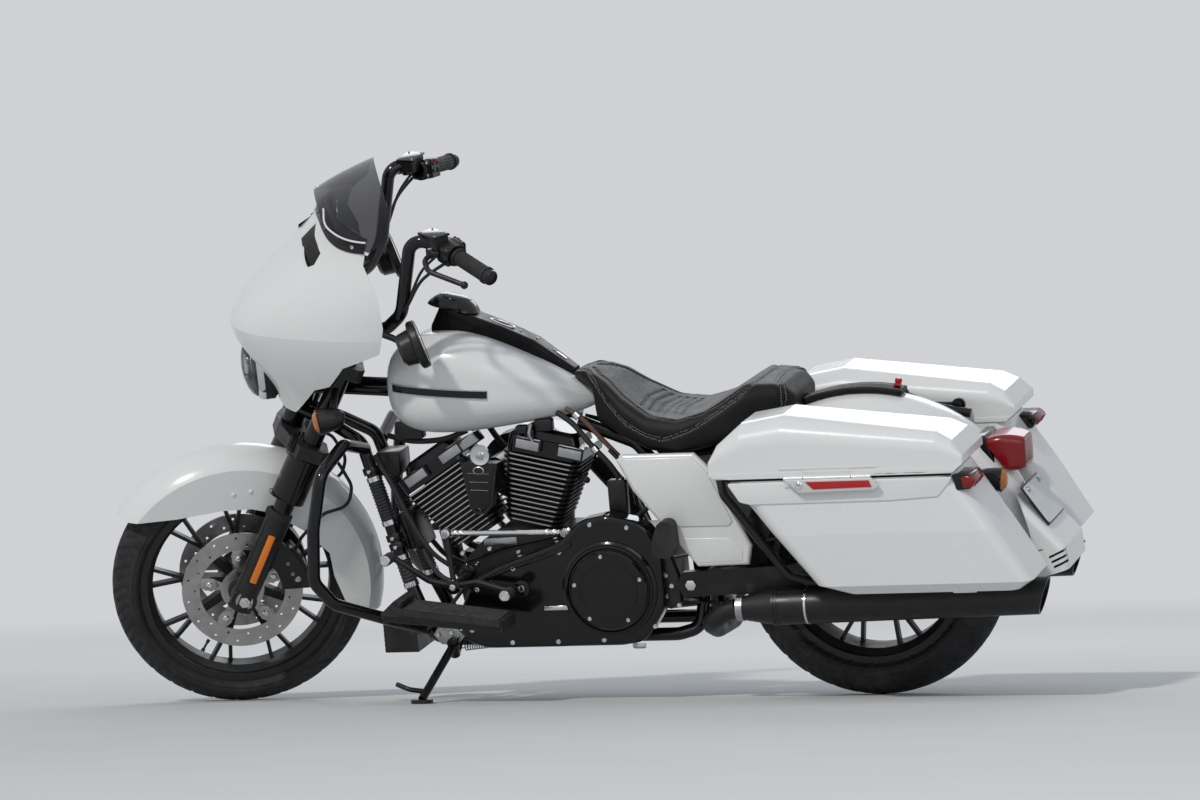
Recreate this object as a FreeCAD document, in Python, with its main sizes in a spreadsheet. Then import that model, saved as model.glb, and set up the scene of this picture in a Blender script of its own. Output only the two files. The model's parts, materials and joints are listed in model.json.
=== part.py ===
"""Touring cruiser motorcycle, parked on its side stand.

Every piece is drawn in the upright bike's own axes: X forward, Y to the left, Z up, millimetres, with
the zero on the floor under the rear axle and the steering straight. The whole bike is then leaned on
its stand, and what steers is turned to the left stop.
"""
import FreeCAD, Part
import math
import os
from FreeCAD import Placement, Rotation, Vector

os.makedirs("parts", exist_ok=True)
doc = FreeCAD.newDocument("touring_motorcycle")

# name, value: lengths in millimetres, angles in degrees
SIZES = [
    # chassis geometry
    ("wheelbase", 1625),
    ("rake", 26),
    ("fork_angle", 29.25),
    ("trail", 173),
    ("lean", 11),
    ("steer_stop", 24),
    # wheels and tyres
    ("front_tyre_radius", 319.3),
    ("front_tyre_width", 130),
    ("front_bead_radius", 241),
    ("rear_tyre_radius", 327.6),
    ("rear_tyre_width", 180),
    ("rear_bead_radius", 228),
    ("tyre_wall", 9),
    ("rim_wall", 6),
    ("spoke_count", 9),
    ("spoke_width", 13),
    ("spoke_depth", 34),
    ("spoke_split", 0.56),
    ("fork_arm_half_width", 4.6),
    ("fork_arm_depth", 21),
    ("fork_arm_spread", 0.118),
    ("hub_radius", 42),
    ("axle_radius", 12.5),
    ("shaft_gap", 0.05),
    ("seat_gap", 0.3),
    ("disc_radius", 150),
    ("disc_band", 44),
    ("disc_thickness", 5),
    ("disc_offset", 69),
    ("disc_tab_radius", 84),
    ("disc_hole_radius", 3.4),
    ("disc_hole_count", 15),
    ("hose_radius", 4.2),
    ("rear_disc_radius", 146),
    ("rear_disc_offset", 92),
    ("pulley_radius", 112),
    ("pulley_width", 26),
    # fork
    ("fork_spread", 126),
    ("slider_radius", 31),
    ("slider_share", 0.552),
    ("fork_tube_radius", 24.5),
    ("fork_cover_radius", 43),
    ("lower_yoke_height", 700),
    ("upper_yoke_height", 905),
    ("yoke_thickness", 34),
    ("stem_radius", 16),
    ("head_tube_radius", 29),
    # front fender
    ("fender_gap", 34),
    ("fender_half_width", 80),
    ("fender_wall", 3),
    ("front_fender_start", 37),
    ("front_fender_end", 198),
    # fairing
    ("fairing_wall", 4),
    ("headlamp_radius", 90),
    ("headlamp_x", 1502),
    ("headlamp_z", 878),
    ("screen_wall", 4),
    # handlebar
    ("bar_radius", 15.9),
    ("bar_rise_top", 1252),
    ("bar_foot_z", 1000),
    ("grip_end_x", 955),
    ("grip_end_y", 478),
    ("grip_end_z", 1182),
    ("grip_radius", 18),
    # tank, seat and panels
    ("tank_half_width", 150),
    ("tank_lift", 0),
    ("door_length", 128),
    ("door_width", 96),
    ("door_height", 30),
    ("panel_wall", 4),
    ("side_cover_offset", 200),
    ("rear_fender_half_width", 116),
    ("strap_half_width", 34),
    # saddlebags
    ("bag_inner", 192),
    ("bag_outer", 424),
    ("bag_wall", 5),
    ("bag_floor", 330),
    ("bag_seam", 618),
    ("lid_gap", 1),
    # engine
    ("crank_x", 878),
    ("crank_z", 268),
    ("front_cylinder_angle", 31.5),
    ("rear_cylinder_angle", -13.5),
    ("barrel_start", 192),
    ("barrel_end", 366),
    ("fin_count", 14),
    ("fin_thickness", 5),
    ("fin_width_start", 132),
    ("fin_width_end", 196),
    ("fin_depth", 176),
    ("bore_radius", 58),
    ("rocker_height", 64),
    ("rocker_shift", -20),
    ("case_half_width", 88),
    ("primary_face", 176),
    ("clutch_x", 618),
    ("clutch_z", 310),
    ("clutch_radius", 120),
    ("clutch_rise", 7),
    ("derby_radius", 97),
    # exhaust
    ("muffler_offset", 212),
    ("muffler_radius", 44),
    ("muffler_front", 290),
    ("muffler_rear", -474),
    ("muffler_z", 264),
    ("pipe_radius", 24),
    # frame and chassis tubes
    ("frame_tube_radius", 16),
    ("rail_offset", 100),
    ("rail_height", 180),
    ("guard_tube_radius", 15.5),
    ("guard_reach", 330),
    ("pivot_x", 430),
    ("pivot_z", 312),
    ("swingarm_offset", 143),
    ("swingarm_width", 26),
    ("swingarm_height", 62),
    # floorboards, stand
    ("board_width", 112),
    ("board_thickness", 30),
    ("stand_reach", 285),
    ("stand_tube_radius", 10),
]

sheet = doc.addObject("Spreadsheet::Sheet", "Sizes")
for row, (alias, number) in enumerate(SIZES, start=1):
    sheet.set(f"A{row}", alias)
    sheet.set(f"B{row}", str(number))
    sheet.setAlias(f"B{row}", alias)
doc.recompute()


class Dim:
    """A length or angle that knows its number and the sheet expression that gives it."""

    def __init__(self, value, text):
        self.value = float(value)
        self.text = text

    def _with(self, other, sign, value):
        text = other.text if isinstance(other, Dim) else repr(float(other))
        return Dim(value, f"({self.text} {sign} {text})")

    def __float__(self):
        return self.value

    def __add__(self, other):
        return self._with(other, "+", self.value + float(other))

    def __sub__(self, other):
        return self._with(other, "-", self.value - float(other))

    def __mul__(self, other):
        return self._with(other, "*", self.value * float(other))

    def __truediv__(self, other):
        return self._with(other, "/", self.value / float(other))

    def __neg__(self):
        return Dim(-self.value, f"(-1 * {self.text})")


def dim(alias):
    return Dim(sheet.get(alias), f"Sizes.{alias}")


def num(alias):
    return float(sheet.get(alias))


# The bike's pose on its stand

wheelbase = num("wheelbase")
front_radius = num("front_tyre_radius")
rear_radius = num("rear_tyre_radius")
rake = math.radians(num("rake"))
steer_axis = Vector(-math.sin(rake), 0, math.cos(rake))
steer_foot = Vector(wheelbase + num("trail"), 0, 0)
front_axle = Vector(wheelbase, 0, front_radius)
rear_axle = Vector(0, 0, rear_radius)
steer = Placement(Vector(), Rotation(steer_axis, num("steer_stop")), steer_foot)


def tyre_low_point(placement, centre, outer_radius, half_width):
    """Height of the lowest point of a round-crowned tyre whose bike-frame axle is along Y."""
    moved = placement.multVec(centre)
    axle = placement.Rotation.multVec(Vector(0, 1, 0))
    ring = outer_radius - half_width
    return moved.z - ring * math.sqrt(1 - axle.z**2) - half_width


def parked_placement():
    """Leans the bike to the left and pitches it until both tyres stand on the floor."""
    lean = Rotation(Vector(1, 0, 0), -num("lean"))
    front_half = num("front_tyre_width") / 2
    rear_half = num("rear_tyre_width") / 2

    def heights(pitch):
        turn = Rotation(Vector(0, 1, 0), pitch).multiply(lean)
        place = Placement(Vector(), turn)
        rear = tyre_low_point(place, rear_axle, rear_radius, rear_half)
        front = tyre_low_point(place.multiply(steer), front_axle, front_radius, front_half)
        return turn, rear, front

    low, high = -5.0, 5.0
    for _ in range(50):
        middle = (low + high) / 2
        turn, rear, front = heights(middle)
        if rear > front:
            high = middle
        else:
            low = middle
    return Placement(Vector(0, 0, -rear), turn)


parked = parked_placement()
parked_steered = parked.multiply(steer)

pieces = {}  # node name: (object, placement)


def put(obj, name, placement=parked):
    """Registers a document object as the piece of that name, set down in its parked place."""
    obj.Label = name
    obj.Placement = placement
    pieces[name] = obj
    return obj


def add(name, shape, placement=parked):
    """Adds a piece whose shape is made with Part's own functions."""
    obj = doc.addObject("Part::Feature", name)
    obj.Shape = shape.removeSplitter() if shape.ShapeType == "Compound" else shape
    return put(obj, name, placement)


# Shape helpers


def face_of(points):
    return Part.Face(Part.makePolygon([*points, points[0]]))


def side_plate(outline, inner_y, outer_y):
    """A prism whose side view is the outline, a list of (x, z), between two widths."""
    face = face_of([Vector(x, inner_y, z) for x, z in outline])
    return face.extrude(Vector(0, outer_y - inner_y, 0))


def rounded_plate(outline, inner_y, outer_y, corner):
    """A prism like side_plate's, its outline's corners rounded."""
    points = [Vector(x, inner_y, z) for x, z in outline]
    arcs = [corner_arc(a, b, c, corner) for a, b, c in zip(points[-1:] + points[:-1], points, points[1:] + points[:1])]
    edges = []
    for (first, middle, second), following in zip(arcs, arcs[1:] + arcs[:1]):
        edges.append(Part.Arc(first, middle, second).toShape())
        edges.append(Part.LineSegment(second, following[0]).toShape())
    return Part.Face(Part.Wire(edges)).extrude(Vector(0, outer_y - inner_y, 0))


def turned(outline, start, way):
    """A solid of revolution; the outline runs (along the axis, radius) from the axis round to the axis."""
    side = Vector(0, 1, 0) if abs(way.y) < 0.9 else Vector(0, 0, 1)
    side = way.cross(side).cross(way).normalize()
    way = Vector(way).normalize()
    face = face_of([start + way * along + side * radius for along, radius in outline])
    return face.revolve(start, way, 360)


def mirrored(shape):
    return shape.mirror(Vector(), Vector(0, 1, 0))


def pair(shape):
    """The left piece and its mirror image on the right, as one compound."""
    return Part.makeCompound([shape, mirrored(shape)])


def bar(start, end, radius):
    start, end = Vector(start), Vector(end)
    return Part.makeCylinder(radius, (end - start).Length, start, end - start)


def corner_arc(before, corner, after, bend):
    """Start, middle and end of the arc that rounds a corner, shortened where a run is short."""
    into = (corner - before).normalize()
    out = (after - corner).normalize()
    angle = into.getAngle(out)
    reach = min(bend * math.tan(angle / 2), 0.45 * (corner - before).Length, 0.45 * (after - corner).Length)
    radius = reach / math.tan(angle / 2)
    inward = (out - into).normalize()
    middle = corner + inward * (radius / math.cos(angle / 2) - radius)
    return corner - into * reach, middle, corner + out * reach


def path_wire(points, bend):
    """Straight runs joined by tangent arcs of the bend radius."""
    points = [Vector(p) for p in points]
    edges = []
    last = points[0]
    for before, corner, after in zip(points, points[1:], points[2:]):
        first, middle, second = corner_arc(before, corner, after, bend)
        edges.append(Part.LineSegment(last, first).toShape())
        edges.append(Part.Arc(first, middle, second).toShape())
        last = second
    edges.append(Part.LineSegment(last, points[-1]).toShape())
    return Part.Wire(edges)


def tube(points, radius, bend=60):
    """A round bar or tube that follows the points."""
    wire = path_wire(points, bend)
    start = Vector(points[0])
    along = Vector(points[1]) - start
    circle = Part.Wire(Part.makeCircle(radius, start, along))
    return wire.makePipeShell([circle], True, False)


def rounded_rectangle(centre, right, up, half_width, half_height, corner):
    """A closed wire of four lines and four arcs, about a centre, on two unit directions."""
    corner = min(corner, 0.98 * half_width, 0.98 * half_height)
    diagonal = corner * (1 - math.sqrt(0.5))

    def at(a, b):
        return centre + right * a + up * b

    edges = []
    w, h, c = half_width, half_height, corner
    for sx, sy in ((1, 1), (-1, 1), (-1, -1), (1, -1)):
        if sx * sy > 0:
            start, end = at(sx * w, sy * (h - c)), at(sx * (w - c), sy * h)
        else:
            start, end = at(sx * (w - c), sy * h), at(sx * w, sy * (h - c))
        edges.append(Part.Arc(start, at(sx * (w - diagonal), sy * (h - diagonal)), end).toShape())
    ring = []
    for arc, following in zip(edges, edges[1:] + edges[:1]):
        ring.append(arc)
        ring.append(Part.LineSegment(arc.valueAt(arc.LastParameter), following.valueAt(following.FirstParameter)).toShape())
    return Part.Wire(ring)


def cross_section(x, half_width, bottom, top, corner):
    """A rounded section across the bike at x."""
    centre = Vector(x, 0, (bottom + top) / 2)
    return rounded_rectangle(centre, Vector(0, 1, 0), Vector(0, 0, 1), half_width, (top - bottom) / 2, corner)


def loft(wires, ruled=False):
    return Part.makeLoft(wires, True, ruled)


# Sketch helpers for the pieces made as PartDesign bodies


def origin_feature(body, role):
    return next(f for f in body.Origin.OriginFeatures if f.Role == role)


def outline_sketch(body, name, role, corners):
    """A closed outline of straight lines, each corner held to the sheet by its own two expressions."""
    import Sketcher

    sketch = body.newObject("Sketcher::SketchObject", name)
    sketch.AttachmentSupport = (origin_feature(body, role), [""])
    sketch.MapMode = "FlatFace"
    spots = [Vector(float(a), float(b), 0) for a, b in corners]
    for start, end in zip(spots, spots[1:] + spots[:1]):
        sketch.addGeometry(Part.LineSegment(start, end), False)
    count = len(spots)
    for i in range(count):
        sketch.addConstraint(Sketcher.Constraint("Coincident", i, 2, (i + 1) % count, 1))
    for i, (a, b) in enumerate(corners):
        for kind, value in (("DistanceX", a), ("DistanceY", b)):
            index = sketch.addConstraint(Sketcher.Constraint(kind, -1, 1, i, 1, float(value)))
            if isinstance(value, Dim):
                sketch.setExpression(f"Constraints[{index}]", value.text)
    return sketch


def circle_sketch(body, name, role, circles):
    """Circles given as (x, y, radius), with the radii and centres held to the sheet."""
    import Sketcher

    sketch = body.newObject("Sketcher::SketchObject", name)
    sketch.AttachmentSupport = (origin_feature(body, role), [""])
    sketch.MapMode = "FlatFace"
    for a, b, radius in circles:
        g = sketch.addGeometry(Part.Circle(Vector(float(a), float(b), 0), Vector(0, 0, 1), float(radius)), False)
        for kind, args, value in (
            ("Radius", (g,), radius),
            ("DistanceX", (-1, 1, g, 3), a),
            ("DistanceY", (-1, 1, g, 3), b),
        ):
            index = sketch.addConstraint(Sketcher.Constraint(kind, *args, float(value)))
            if isinstance(value, Dim):
                sketch.setExpression(f"Constraints[{index}]", value.text)
    return sketch


def new_body(name):
    return doc.addObject("PartDesign::Body", name)


def revolution(body, sketch, axis_role="Y_Axis"):
    feature = body.newObject("PartDesign::Revolution", sketch.Name + "Turn")
    feature.Profile = sketch
    feature.ReferenceAxis = (origin_feature(body, axis_role), [""])
    feature.Angle = 360
    return feature


def pad(body, sketch, length, reversed_way=False, midplane=False):
    feature = body.newObject("PartDesign::Pad", sketch.Name + "Pad")
    feature.Profile = sketch
    feature.Length = float(length)
    if isinstance(length, Dim):
        feature.setExpression("Length", length.text)
    feature.Reversed = reversed_way
    feature.Midplane = midplane
    return feature


def profile_sketch(body, name, role, corners, arcs):
    """A closed outline; arcs maps an edge's number to its centre, whose first coordinate is held."""
    import Sketcher

    sketch = body.newObject("Sketcher::SketchObject", name)
    sketch.AttachmentSupport = (origin_feature(body, role), [""])
    sketch.MapMode = "FlatFace"
    spots = [Vector(float(a), float(b), 0) for a, b in corners]
    count = len(spots)
    ends = []
    for i in range(count):
        start, end = spots[i], spots[(i + 1) % count]
        if i not in arcs:
            sketch.addGeometry(Part.LineSegment(start, end), False)
            ends.append((1, 2))
            continue
        centre = Vector(float(arcs[i][0]), float(arcs[i][1]), 0)
        radius = (start - centre).Length
        circle = Part.Circle(centre, Vector(0, 0, 1), radius)
        a = math.atan2(start.y - centre.y, start.x - centre.x)
        b = math.atan2(end.y - centre.y, end.x - centre.x)
        turn = (b - a) % (2 * math.pi)
        if turn < math.pi:
            sketch.addGeometry(Part.ArcOfCircle(circle, a, a + turn), False)
            ends.append((1, 2))
        else:
            sketch.addGeometry(Part.ArcOfCircle(circle, b, b + (a - b) % (2 * math.pi)), False)
            ends.append((2, 1))
    for i in range(count):
        following = (i + 1) % count
        sketch.addConstraint(Sketcher.Constraint("Coincident", i, ends[i][1], following, ends[following][0]))
    held = [(i, ends[i][0], corners[i]) for i in range(count)]
    for geometry, point, (a, b) in held:
        for kind, value in (("DistanceX", a), ("DistanceY", b)):
            index = sketch.addConstraint(Sketcher.Constraint(kind, -1, 1, geometry, point, float(value)))
            if isinstance(value, Dim):
                sketch.setExpression(f"Constraints[{index}]", value.text)
    for i, centre in arcs.items():
        index = sketch.addConstraint(Sketcher.Constraint("DistanceX", -1, 1, i, 3, float(centre[0])))
        if isinstance(centre[0], Dim):
            sketch.setExpression(f"Constraints[{index}]", centre[0].text)
    return sketch


# Wheels: each drawn about its own axle, which lies along Y

SHOULDER = math.radians(62)


def tyre(name, outer, width, bead, bead_half, wall):
    """A round-crowned tyre whose beads end flat on the rim's seats."""
    half = width / 2
    centre = outer - half
    c, s = math.cos(SHOULDER), math.sin(SHOULDER)
    inner = half - wall
    right_outer = [
        (centre + half * c, half * s),
        (bead + 30, half),
        (bead + 14, bead_half + 9),
        (bead + 12, bead_half),
        (bead, bead_half),
        (bead, bead_half - wall),
        (bead + 14, bead_half - wall + 3),
        (bead + 30, inner),
        (centre + inner * c, inner * s),
    ]
    left = [(r, -y) for r, y in reversed(right_outer)]
    corners = right_outer + left
    body = new_body(name)
    last = len(corners) - 1
    sketch = profile_sketch(body, name + "_section", "XY_Plane", corners, {8: (centre, 0.0), last: (centre, 0.0)})
    revolution(body, sketch)
    return body


def cast_wheel(name, bead, bead_half, hub_half):
    """A rim, a hub bored for its axle and a ring of cast spokes."""
    wall = dim("rim_wall")
    seat = bead_half + dim("shaft_gap")
    half = [
        (bead + 11, seat + wall),
        (bead + 11, seat),
        (bead, seat),
        (bead, seat - 15),
        (bead - 15, seat - 22),
    ]
    under = [
        (bead - 15 - wall, -(seat - 24)),
        (bead - wall, -(seat - 12)),
        (bead - wall, -(seat + wall)),
    ]
    corners = half + [(r, -y) for r, y in reversed(half)]
    corners += [(r, y) for r, y in reversed(under)]
    corners += [(r, -y) for r, y in under]
    body = new_body(name)
    body.AllowCompound = True
    revolution(body, outline_sketch(body, name + "_rim", "XY_Plane", corners))
    bore = dim("axle_radius") + dim("shaft_gap")
    hub = dim("hub_radius")
    hub_corners = [
        (bore, hub_half),
        (hub - 10, hub_half),
        (hub, hub_half - 12),
        (hub, -(hub_half - 12)),
        (hub - 10, -hub_half),
        (bore, -hub_half),
    ]
    revolution(body, outline_sketch(body, name + "_hub", "XY_Plane", hub_corners))
    near, far = dim("spoke_width") * 0.9, dim("spoke_width") * 0.62
    top = bead - 15 - wall / 2
    split = bead * dim("spoke_split")
    trunk = [
        (near, hub - 3),
        (far, split),
        (-far, split),
        (-near, hub - 3),
    ]
    spoke = [pad(body, outline_sketch(body, name + "_spoke", "XZ_Plane", trunk), dim("spoke_depth"), midplane=True)]
    half = dim("fork_arm_half_width")
    reach = top * dim("fork_arm_spread")
    for side, label in ((1, "_arm_fore"), (-1, "_arm_aft")):
        arm = [
            (half, split - 16),
            (reach * side + half, top),
            (reach * side - half, top),
            (-half, split - 16),
        ]
        sketch = outline_sketch(body, name + label, "XZ_Plane", arm)
        spoke.append(pad(body, sketch, dim("fork_arm_depth"), reversed_way=side < 0))
    doc.recompute()
    ring = body.newObject("PartDesign::PolarPattern", name + "_spokes")
    ring.Originals = spoke
    ring.Axis = (origin_feature(body, "Y_Axis"), [""])
    ring.Angle = 360
    ring.Occurrences = int(num("spoke_count"))
    ring.setExpression("Occurrences", "Sizes.spoke_count")
    body.Tip = ring
    return body


def brake_disc(name, outer, band, thickness, tab_radius):
    """A drilled ring held by five carriers round a bolting flange."""
    body = new_body(name)
    body.AllowCompound = True
    sketch = circle_sketch(body, name + "_ring", "XZ_Plane", [(0, 0, outer), (0, 0, outer - band)])
    pad(body, sketch, thickness, midplane=True)
    hole = dim("disc_hole_radius")
    inner_row, outer_row = outer - band * 0.72, outer - band * 0.3
    step = math.radians(180 / num("disc_hole_count"))
    spots = [(0, outer_row, hole), (inner_row * math.sin(step), inner_row * math.cos(step), hole)]
    drilled = body.newObject("PartDesign::Pocket", name + "_drilled")
    drilled.Profile = circle_sketch(body, name + "_holes", "XZ_Plane", spots)
    drilled.Midplane = True
    drilled.Length = float(thickness) * 3
    doc.recompute()
    holes = body.newObject("PartDesign::PolarPattern", name + "_hole_rows")
    holes.Originals = [drilled]
    holes.Axis = (origin_feature(body, "Y_Axis"), [""])
    holes.Angle = 360
    holes.Occurrences = int(num("disc_hole_count"))
    holes.setExpression("Occurrences", "Sizes.disc_hole_count")
    body.Tip = holes
    flange = circle_sketch(body, name + "_flange", "XZ_Plane", [(0, 0, tab_radius - 30), (0, 0, dim("hub_radius") - 16)])
    pad(body, flange, thickness, midplane=True)
    arm = [
        (9.0, tab_radius - 33),
        (18.0, tab_radius + 6),
        (9.0, outer - band + 5),
        (-9.0, outer - band + 5),
        (-18.0, tab_radius + 6),
        (-9.0, tab_radius - 33),
    ]
    feature = pad(body, outline_sketch(body, name + "_arm", "XZ_Plane", arm), thickness, midplane=True)
    doc.recompute()
    ring = body.newObject("PartDesign::PolarPattern", name + "_arms")
    ring.Originals = [feature]
    ring.Axis = (origin_feature(body, "Y_Axis"), [""])
    ring.Angle = 360
    ring.Occurrences = 5
    body.Tip = ring
    return body


def at(x, y, z, turn=None):
    return Placement(Vector(x, y, z), turn or Rotation())


def cylinder(name, radius, length):
    """A primitive cylinder along its own Z, its sizes held to the sheet."""
    obj = doc.addObject("Part::Cylinder", name)
    for prop, value in (("Radius", radius), ("Height", length)):
        setattr(obj, prop, float(value))
        if isinstance(value, Dim):
            obj.setExpression(prop, value.text)
    return obj


across = Rotation(Vector(0, 0, 1), Vector(0, 1, 0))
front_place = parked_steered.multiply(Placement(front_axle, Rotation()))
rear_place = parked.multiply(Placement(rear_axle, Rotation()))
front_bead_half = dim("front_tyre_width") / 2 - 20
rear_bead_half = dim("rear_tyre_width") / 2 - 26
front_hub_half = dim("disc_offset") - dim("disc_thickness") / 2

put(
    tyre("front_tyre", dim("front_tyre_radius"), dim("front_tyre_width"), dim("front_bead_radius"), front_bead_half, dim("tyre_wall")),
    "front_tyre",
    front_place,
)
put(
    tyre("rear_tyre", dim("rear_tyre_radius"), dim("rear_tyre_width"), dim("rear_bead_radius"), rear_bead_half, dim("tyre_wall")),
    "rear_tyre",
    rear_place,
)
put(cast_wheel("front_wheel", dim("front_bead_radius"), front_bead_half, front_hub_half), "front_wheel", front_place)
rear_hub_half = dim("rear_disc_offset") - dim("disc_thickness") / 2
put(cast_wheel("rear_wheel", dim("rear_bead_radius"), rear_bead_half, rear_hub_half), "rear_wheel", rear_place)

front_pair = []
for side, name in ((1, "disc_left"), (-1, "disc_right")):
    disc = brake_disc(name, dim("disc_radius"), dim("disc_band"), dim("disc_thickness"), dim("disc_tab_radius"))
    disc.Placement = at(0, side * num("disc_offset"), 0)
    front_pair.append(disc)
front_discs = doc.addObject("Part::Compound", "front_discs")
front_discs.Links = front_pair
put(front_discs, "front_discs", front_place)

disc = brake_disc("rear_disc", dim("rear_disc_radius"), dim("disc_band"), dim("disc_thickness"), dim("disc_tab_radius"))
put(disc, "rear_disc", rear_place.multiply(at(0, -num("rear_disc_offset"), 0)))

pulley = new_body("rear_pulley")
pulley.AllowCompound = True
rim = circle_sketch(pulley, "pulley_rim", "XZ_Plane", [(0, 0, dim("pulley_radius")), (0, 0, dim("hub_radius") - 16)])
pad(pulley, rim, dim("pulley_width"), midplane=True)
pulley_middle = num("rear_disc_offset") - num("disc_thickness") / 2 + num("pulley_width") / 2
put(pulley, "rear_pulley", rear_place.multiply(at(0, pulley_middle, 0)))

front_axle_half = num("fork_spread") + 24
piece = cylinder("front_axle", dim("axle_radius"), dim("fork_spread") * 2 + 48)
put(piece, "front_axle", front_place.multiply(at(0, -front_axle_half, 0, across)))
arm_centre = num("swingarm_offset")
rear_axle_half = arm_centre + num("swingarm_width") / 2 + 14
piece = cylinder("rear_axle", dim("axle_radius"), dim("swingarm_offset") * 2 + dim("swingarm_width") + 28)
put(piece, "rear_axle", rear_place.multiply(at(0, -rear_axle_half, 0, across)))
doc.recompute()


# Fork: the legs, yokes, fender, fairing and bars, drawn with the steering straight ahead

fork_angle = math.radians(num("fork_angle"))
fork_line = Vector(-math.sin(fork_angle), 0, math.cos(fork_angle))
fork_spread = num("fork_spread")
slider_radius = num("slider_radius")
slider_length = num("slider_share") * (num("lower_yoke_height") - front_radius) / fork_line.z
tube_radius = num("fork_tube_radius")
gap = num("shaft_gap")
axle_radius = num("axle_radius")


def on_fork(along, y=0.0):
    return front_axle + fork_line * along + Vector(0, y, 0)


def along_fork(height):
    """Distance up the fork leg from the axle at which it reaches a height."""
    return (height - front_axle.z) / fork_line.z


def on_stem(height):
    reach = height / steer_axis.z
    return steer_foot + steer_axis * reach


def cylinder_on(start, direction, radius, length):
    return Part.makeCylinder(radius, length, Vector(start), Vector(direction))


lug_radius = axle_radius + 17
slider = cylinder_on(on_fork(-lug_radius, fork_spread), fork_line, slider_radius, slider_length + lug_radius)
lug = cylinder_on(front_axle + Vector(0, fork_spread - 23, 0), Vector(0, 1, 0), lug_radius + 2, 46)
bore = cylinder_on(front_axle + Vector(0, fork_spread - 60, 0), Vector(0, 1, 0), axle_radius + gap, 120)
slider = slider.fuse(lug).cut(bore)
add("fork_sliders", pair(slider), parked_steered)

upper_yoke = on_stem(num("upper_yoke_height"))
lower_yoke = on_stem(num("lower_yoke_height"))
yoke_thick = num("yoke_thickness")
tube_top = along_fork(num("upper_yoke_height")) + 12
inner_tube = cylinder_on(on_fork(slider_length, fork_spread), fork_line, tube_radius, tube_top - slider_length)
cover_start = slider_length + 40
yoke_under = -yoke_thick / 2 - (front_axle - lower_yoke).dot(steer_axis)
cover_end = yoke_under / fork_line.dot(steer_axis) - num("fork_cover_radius") * 0.06 - 1
cover = cylinder_on(on_fork(cover_start, fork_spread), fork_line, num("fork_cover_radius"), cover_end - cover_start)
add("fork_tubes", pair(cover.fuse(inner_tube)), parked_steered)

ahead = Vector(math.cos(rake), 0, math.sin(rake))


def yoke(centre):
    """A clamp plate square to the steering stem that reaches back to both fork legs."""
    def leg_offset(s):
        return (on_fork(s) - centre).dot(steer_axis)

    s = -(front_axle - centre).dot(steer_axis) / fork_line.dot(steer_axis)
    back = (on_fork(s) - centre).dot(ahead)
    clamp = tube_radius + 20
    half = [
        (38, 34),
        (back + clamp, fork_spread + clamp - 30),
        (back + clamp - 14, fork_spread + clamp),
        (back - clamp + 14, fork_spread + clamp),
        (back - clamp, fork_spread + clamp - 14),
        (back - clamp, fork_spread - clamp + 8),
        (-34, 34),
    ]
    points = half + [(a, -b) for a, b in reversed(half)]
    face = face_of([centre - steer_axis * (yoke_thick / 2) + ahead * a + Vector(0, b, 0) for a, b in points])
    return face.extrude(steer_axis * yoke_thick)


stem_start = lower_yoke - steer_axis * (yoke_thick / 2)
stem_length = (upper_yoke - lower_yoke).Length + yoke_thick
yokes = yoke(lower_yoke).fuse(yoke(upper_yoke))
yokes = yokes.fuse(cylinder_on(stem_start, steer_axis, num("stem_radius"), stem_length))
leg_holes = pair(cylinder_on(on_fork(0, fork_spread), fork_line, tube_radius + gap, 900))
yokes = yokes.cut(leg_holes)
lamp_back = Vector(num("headlamp_x") - 48 - num("seat_gap"), 0, num("headlamp_z"))
for side in (1, -1):
    yokes = yokes.fuse(bar(upper_yoke + Vector(20, side * 30, 6), lamp_back + Vector(0, side * 30, 8), 8))
yokes = yokes.cut(Part.makeBox(60, 120, 200, lamp_back - Vector(0, 60, 100)))
add("fork_yokes", yokes, parked_steered)


def sector(centre, inner, outer, start, end, inner_y, outer_y):
    """A curved block about an axle, between two radii and two angles from straight ahead."""
    def spot(radius, angle):
        a = math.radians(angle)
        return Vector(centre.x + radius * math.cos(a), inner_y, centre.z + radius * math.sin(a))

    middle = (start + end) / 2
    edges = [
        Part.Arc(spot(outer, start), spot(outer, middle), spot(outer, end)).toShape(),
        Part.LineSegment(spot(outer, end), spot(inner, end)).toShape(),
        Part.Arc(spot(inner, end), spot(inner, middle), spot(inner, start)).toShape(),
        Part.LineSegment(spot(inner, start), spot(outer, start)).toShape(),
    ]
    return Part.Face(Part.Wire(edges)).extrude(Vector(0, outer_y - inner_y, 0))


def caliper(centre, disc_radius, offset, start, end):
    """A four-piston caliper straddling the rim of its disc."""
    half_slot = num("disc_thickness") / 2 + 2
    block = sector(centre, disc_radius - 52, disc_radius + 20, start, end, offset - 24, offset + 19)
    slot = sector(centre, disc_radius - 60, disc_radius + 4, start - 20, end + 20, offset - half_slot, offset + half_slot)
    return block.cut(slot)


disc_radius = num("disc_radius")
disc_offset = num("disc_offset")
front_caliper = caliper(front_axle, disc_radius, disc_offset, 141, 184)
bracket = sector(front_axle, disc_radius - 34, disc_radius + 12, 112, 170, disc_offset + 13, fork_spread - slider_radius - 0.2)
add("front_calipers", pair(front_caliper.fuse(bracket)), parked_steered)


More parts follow.
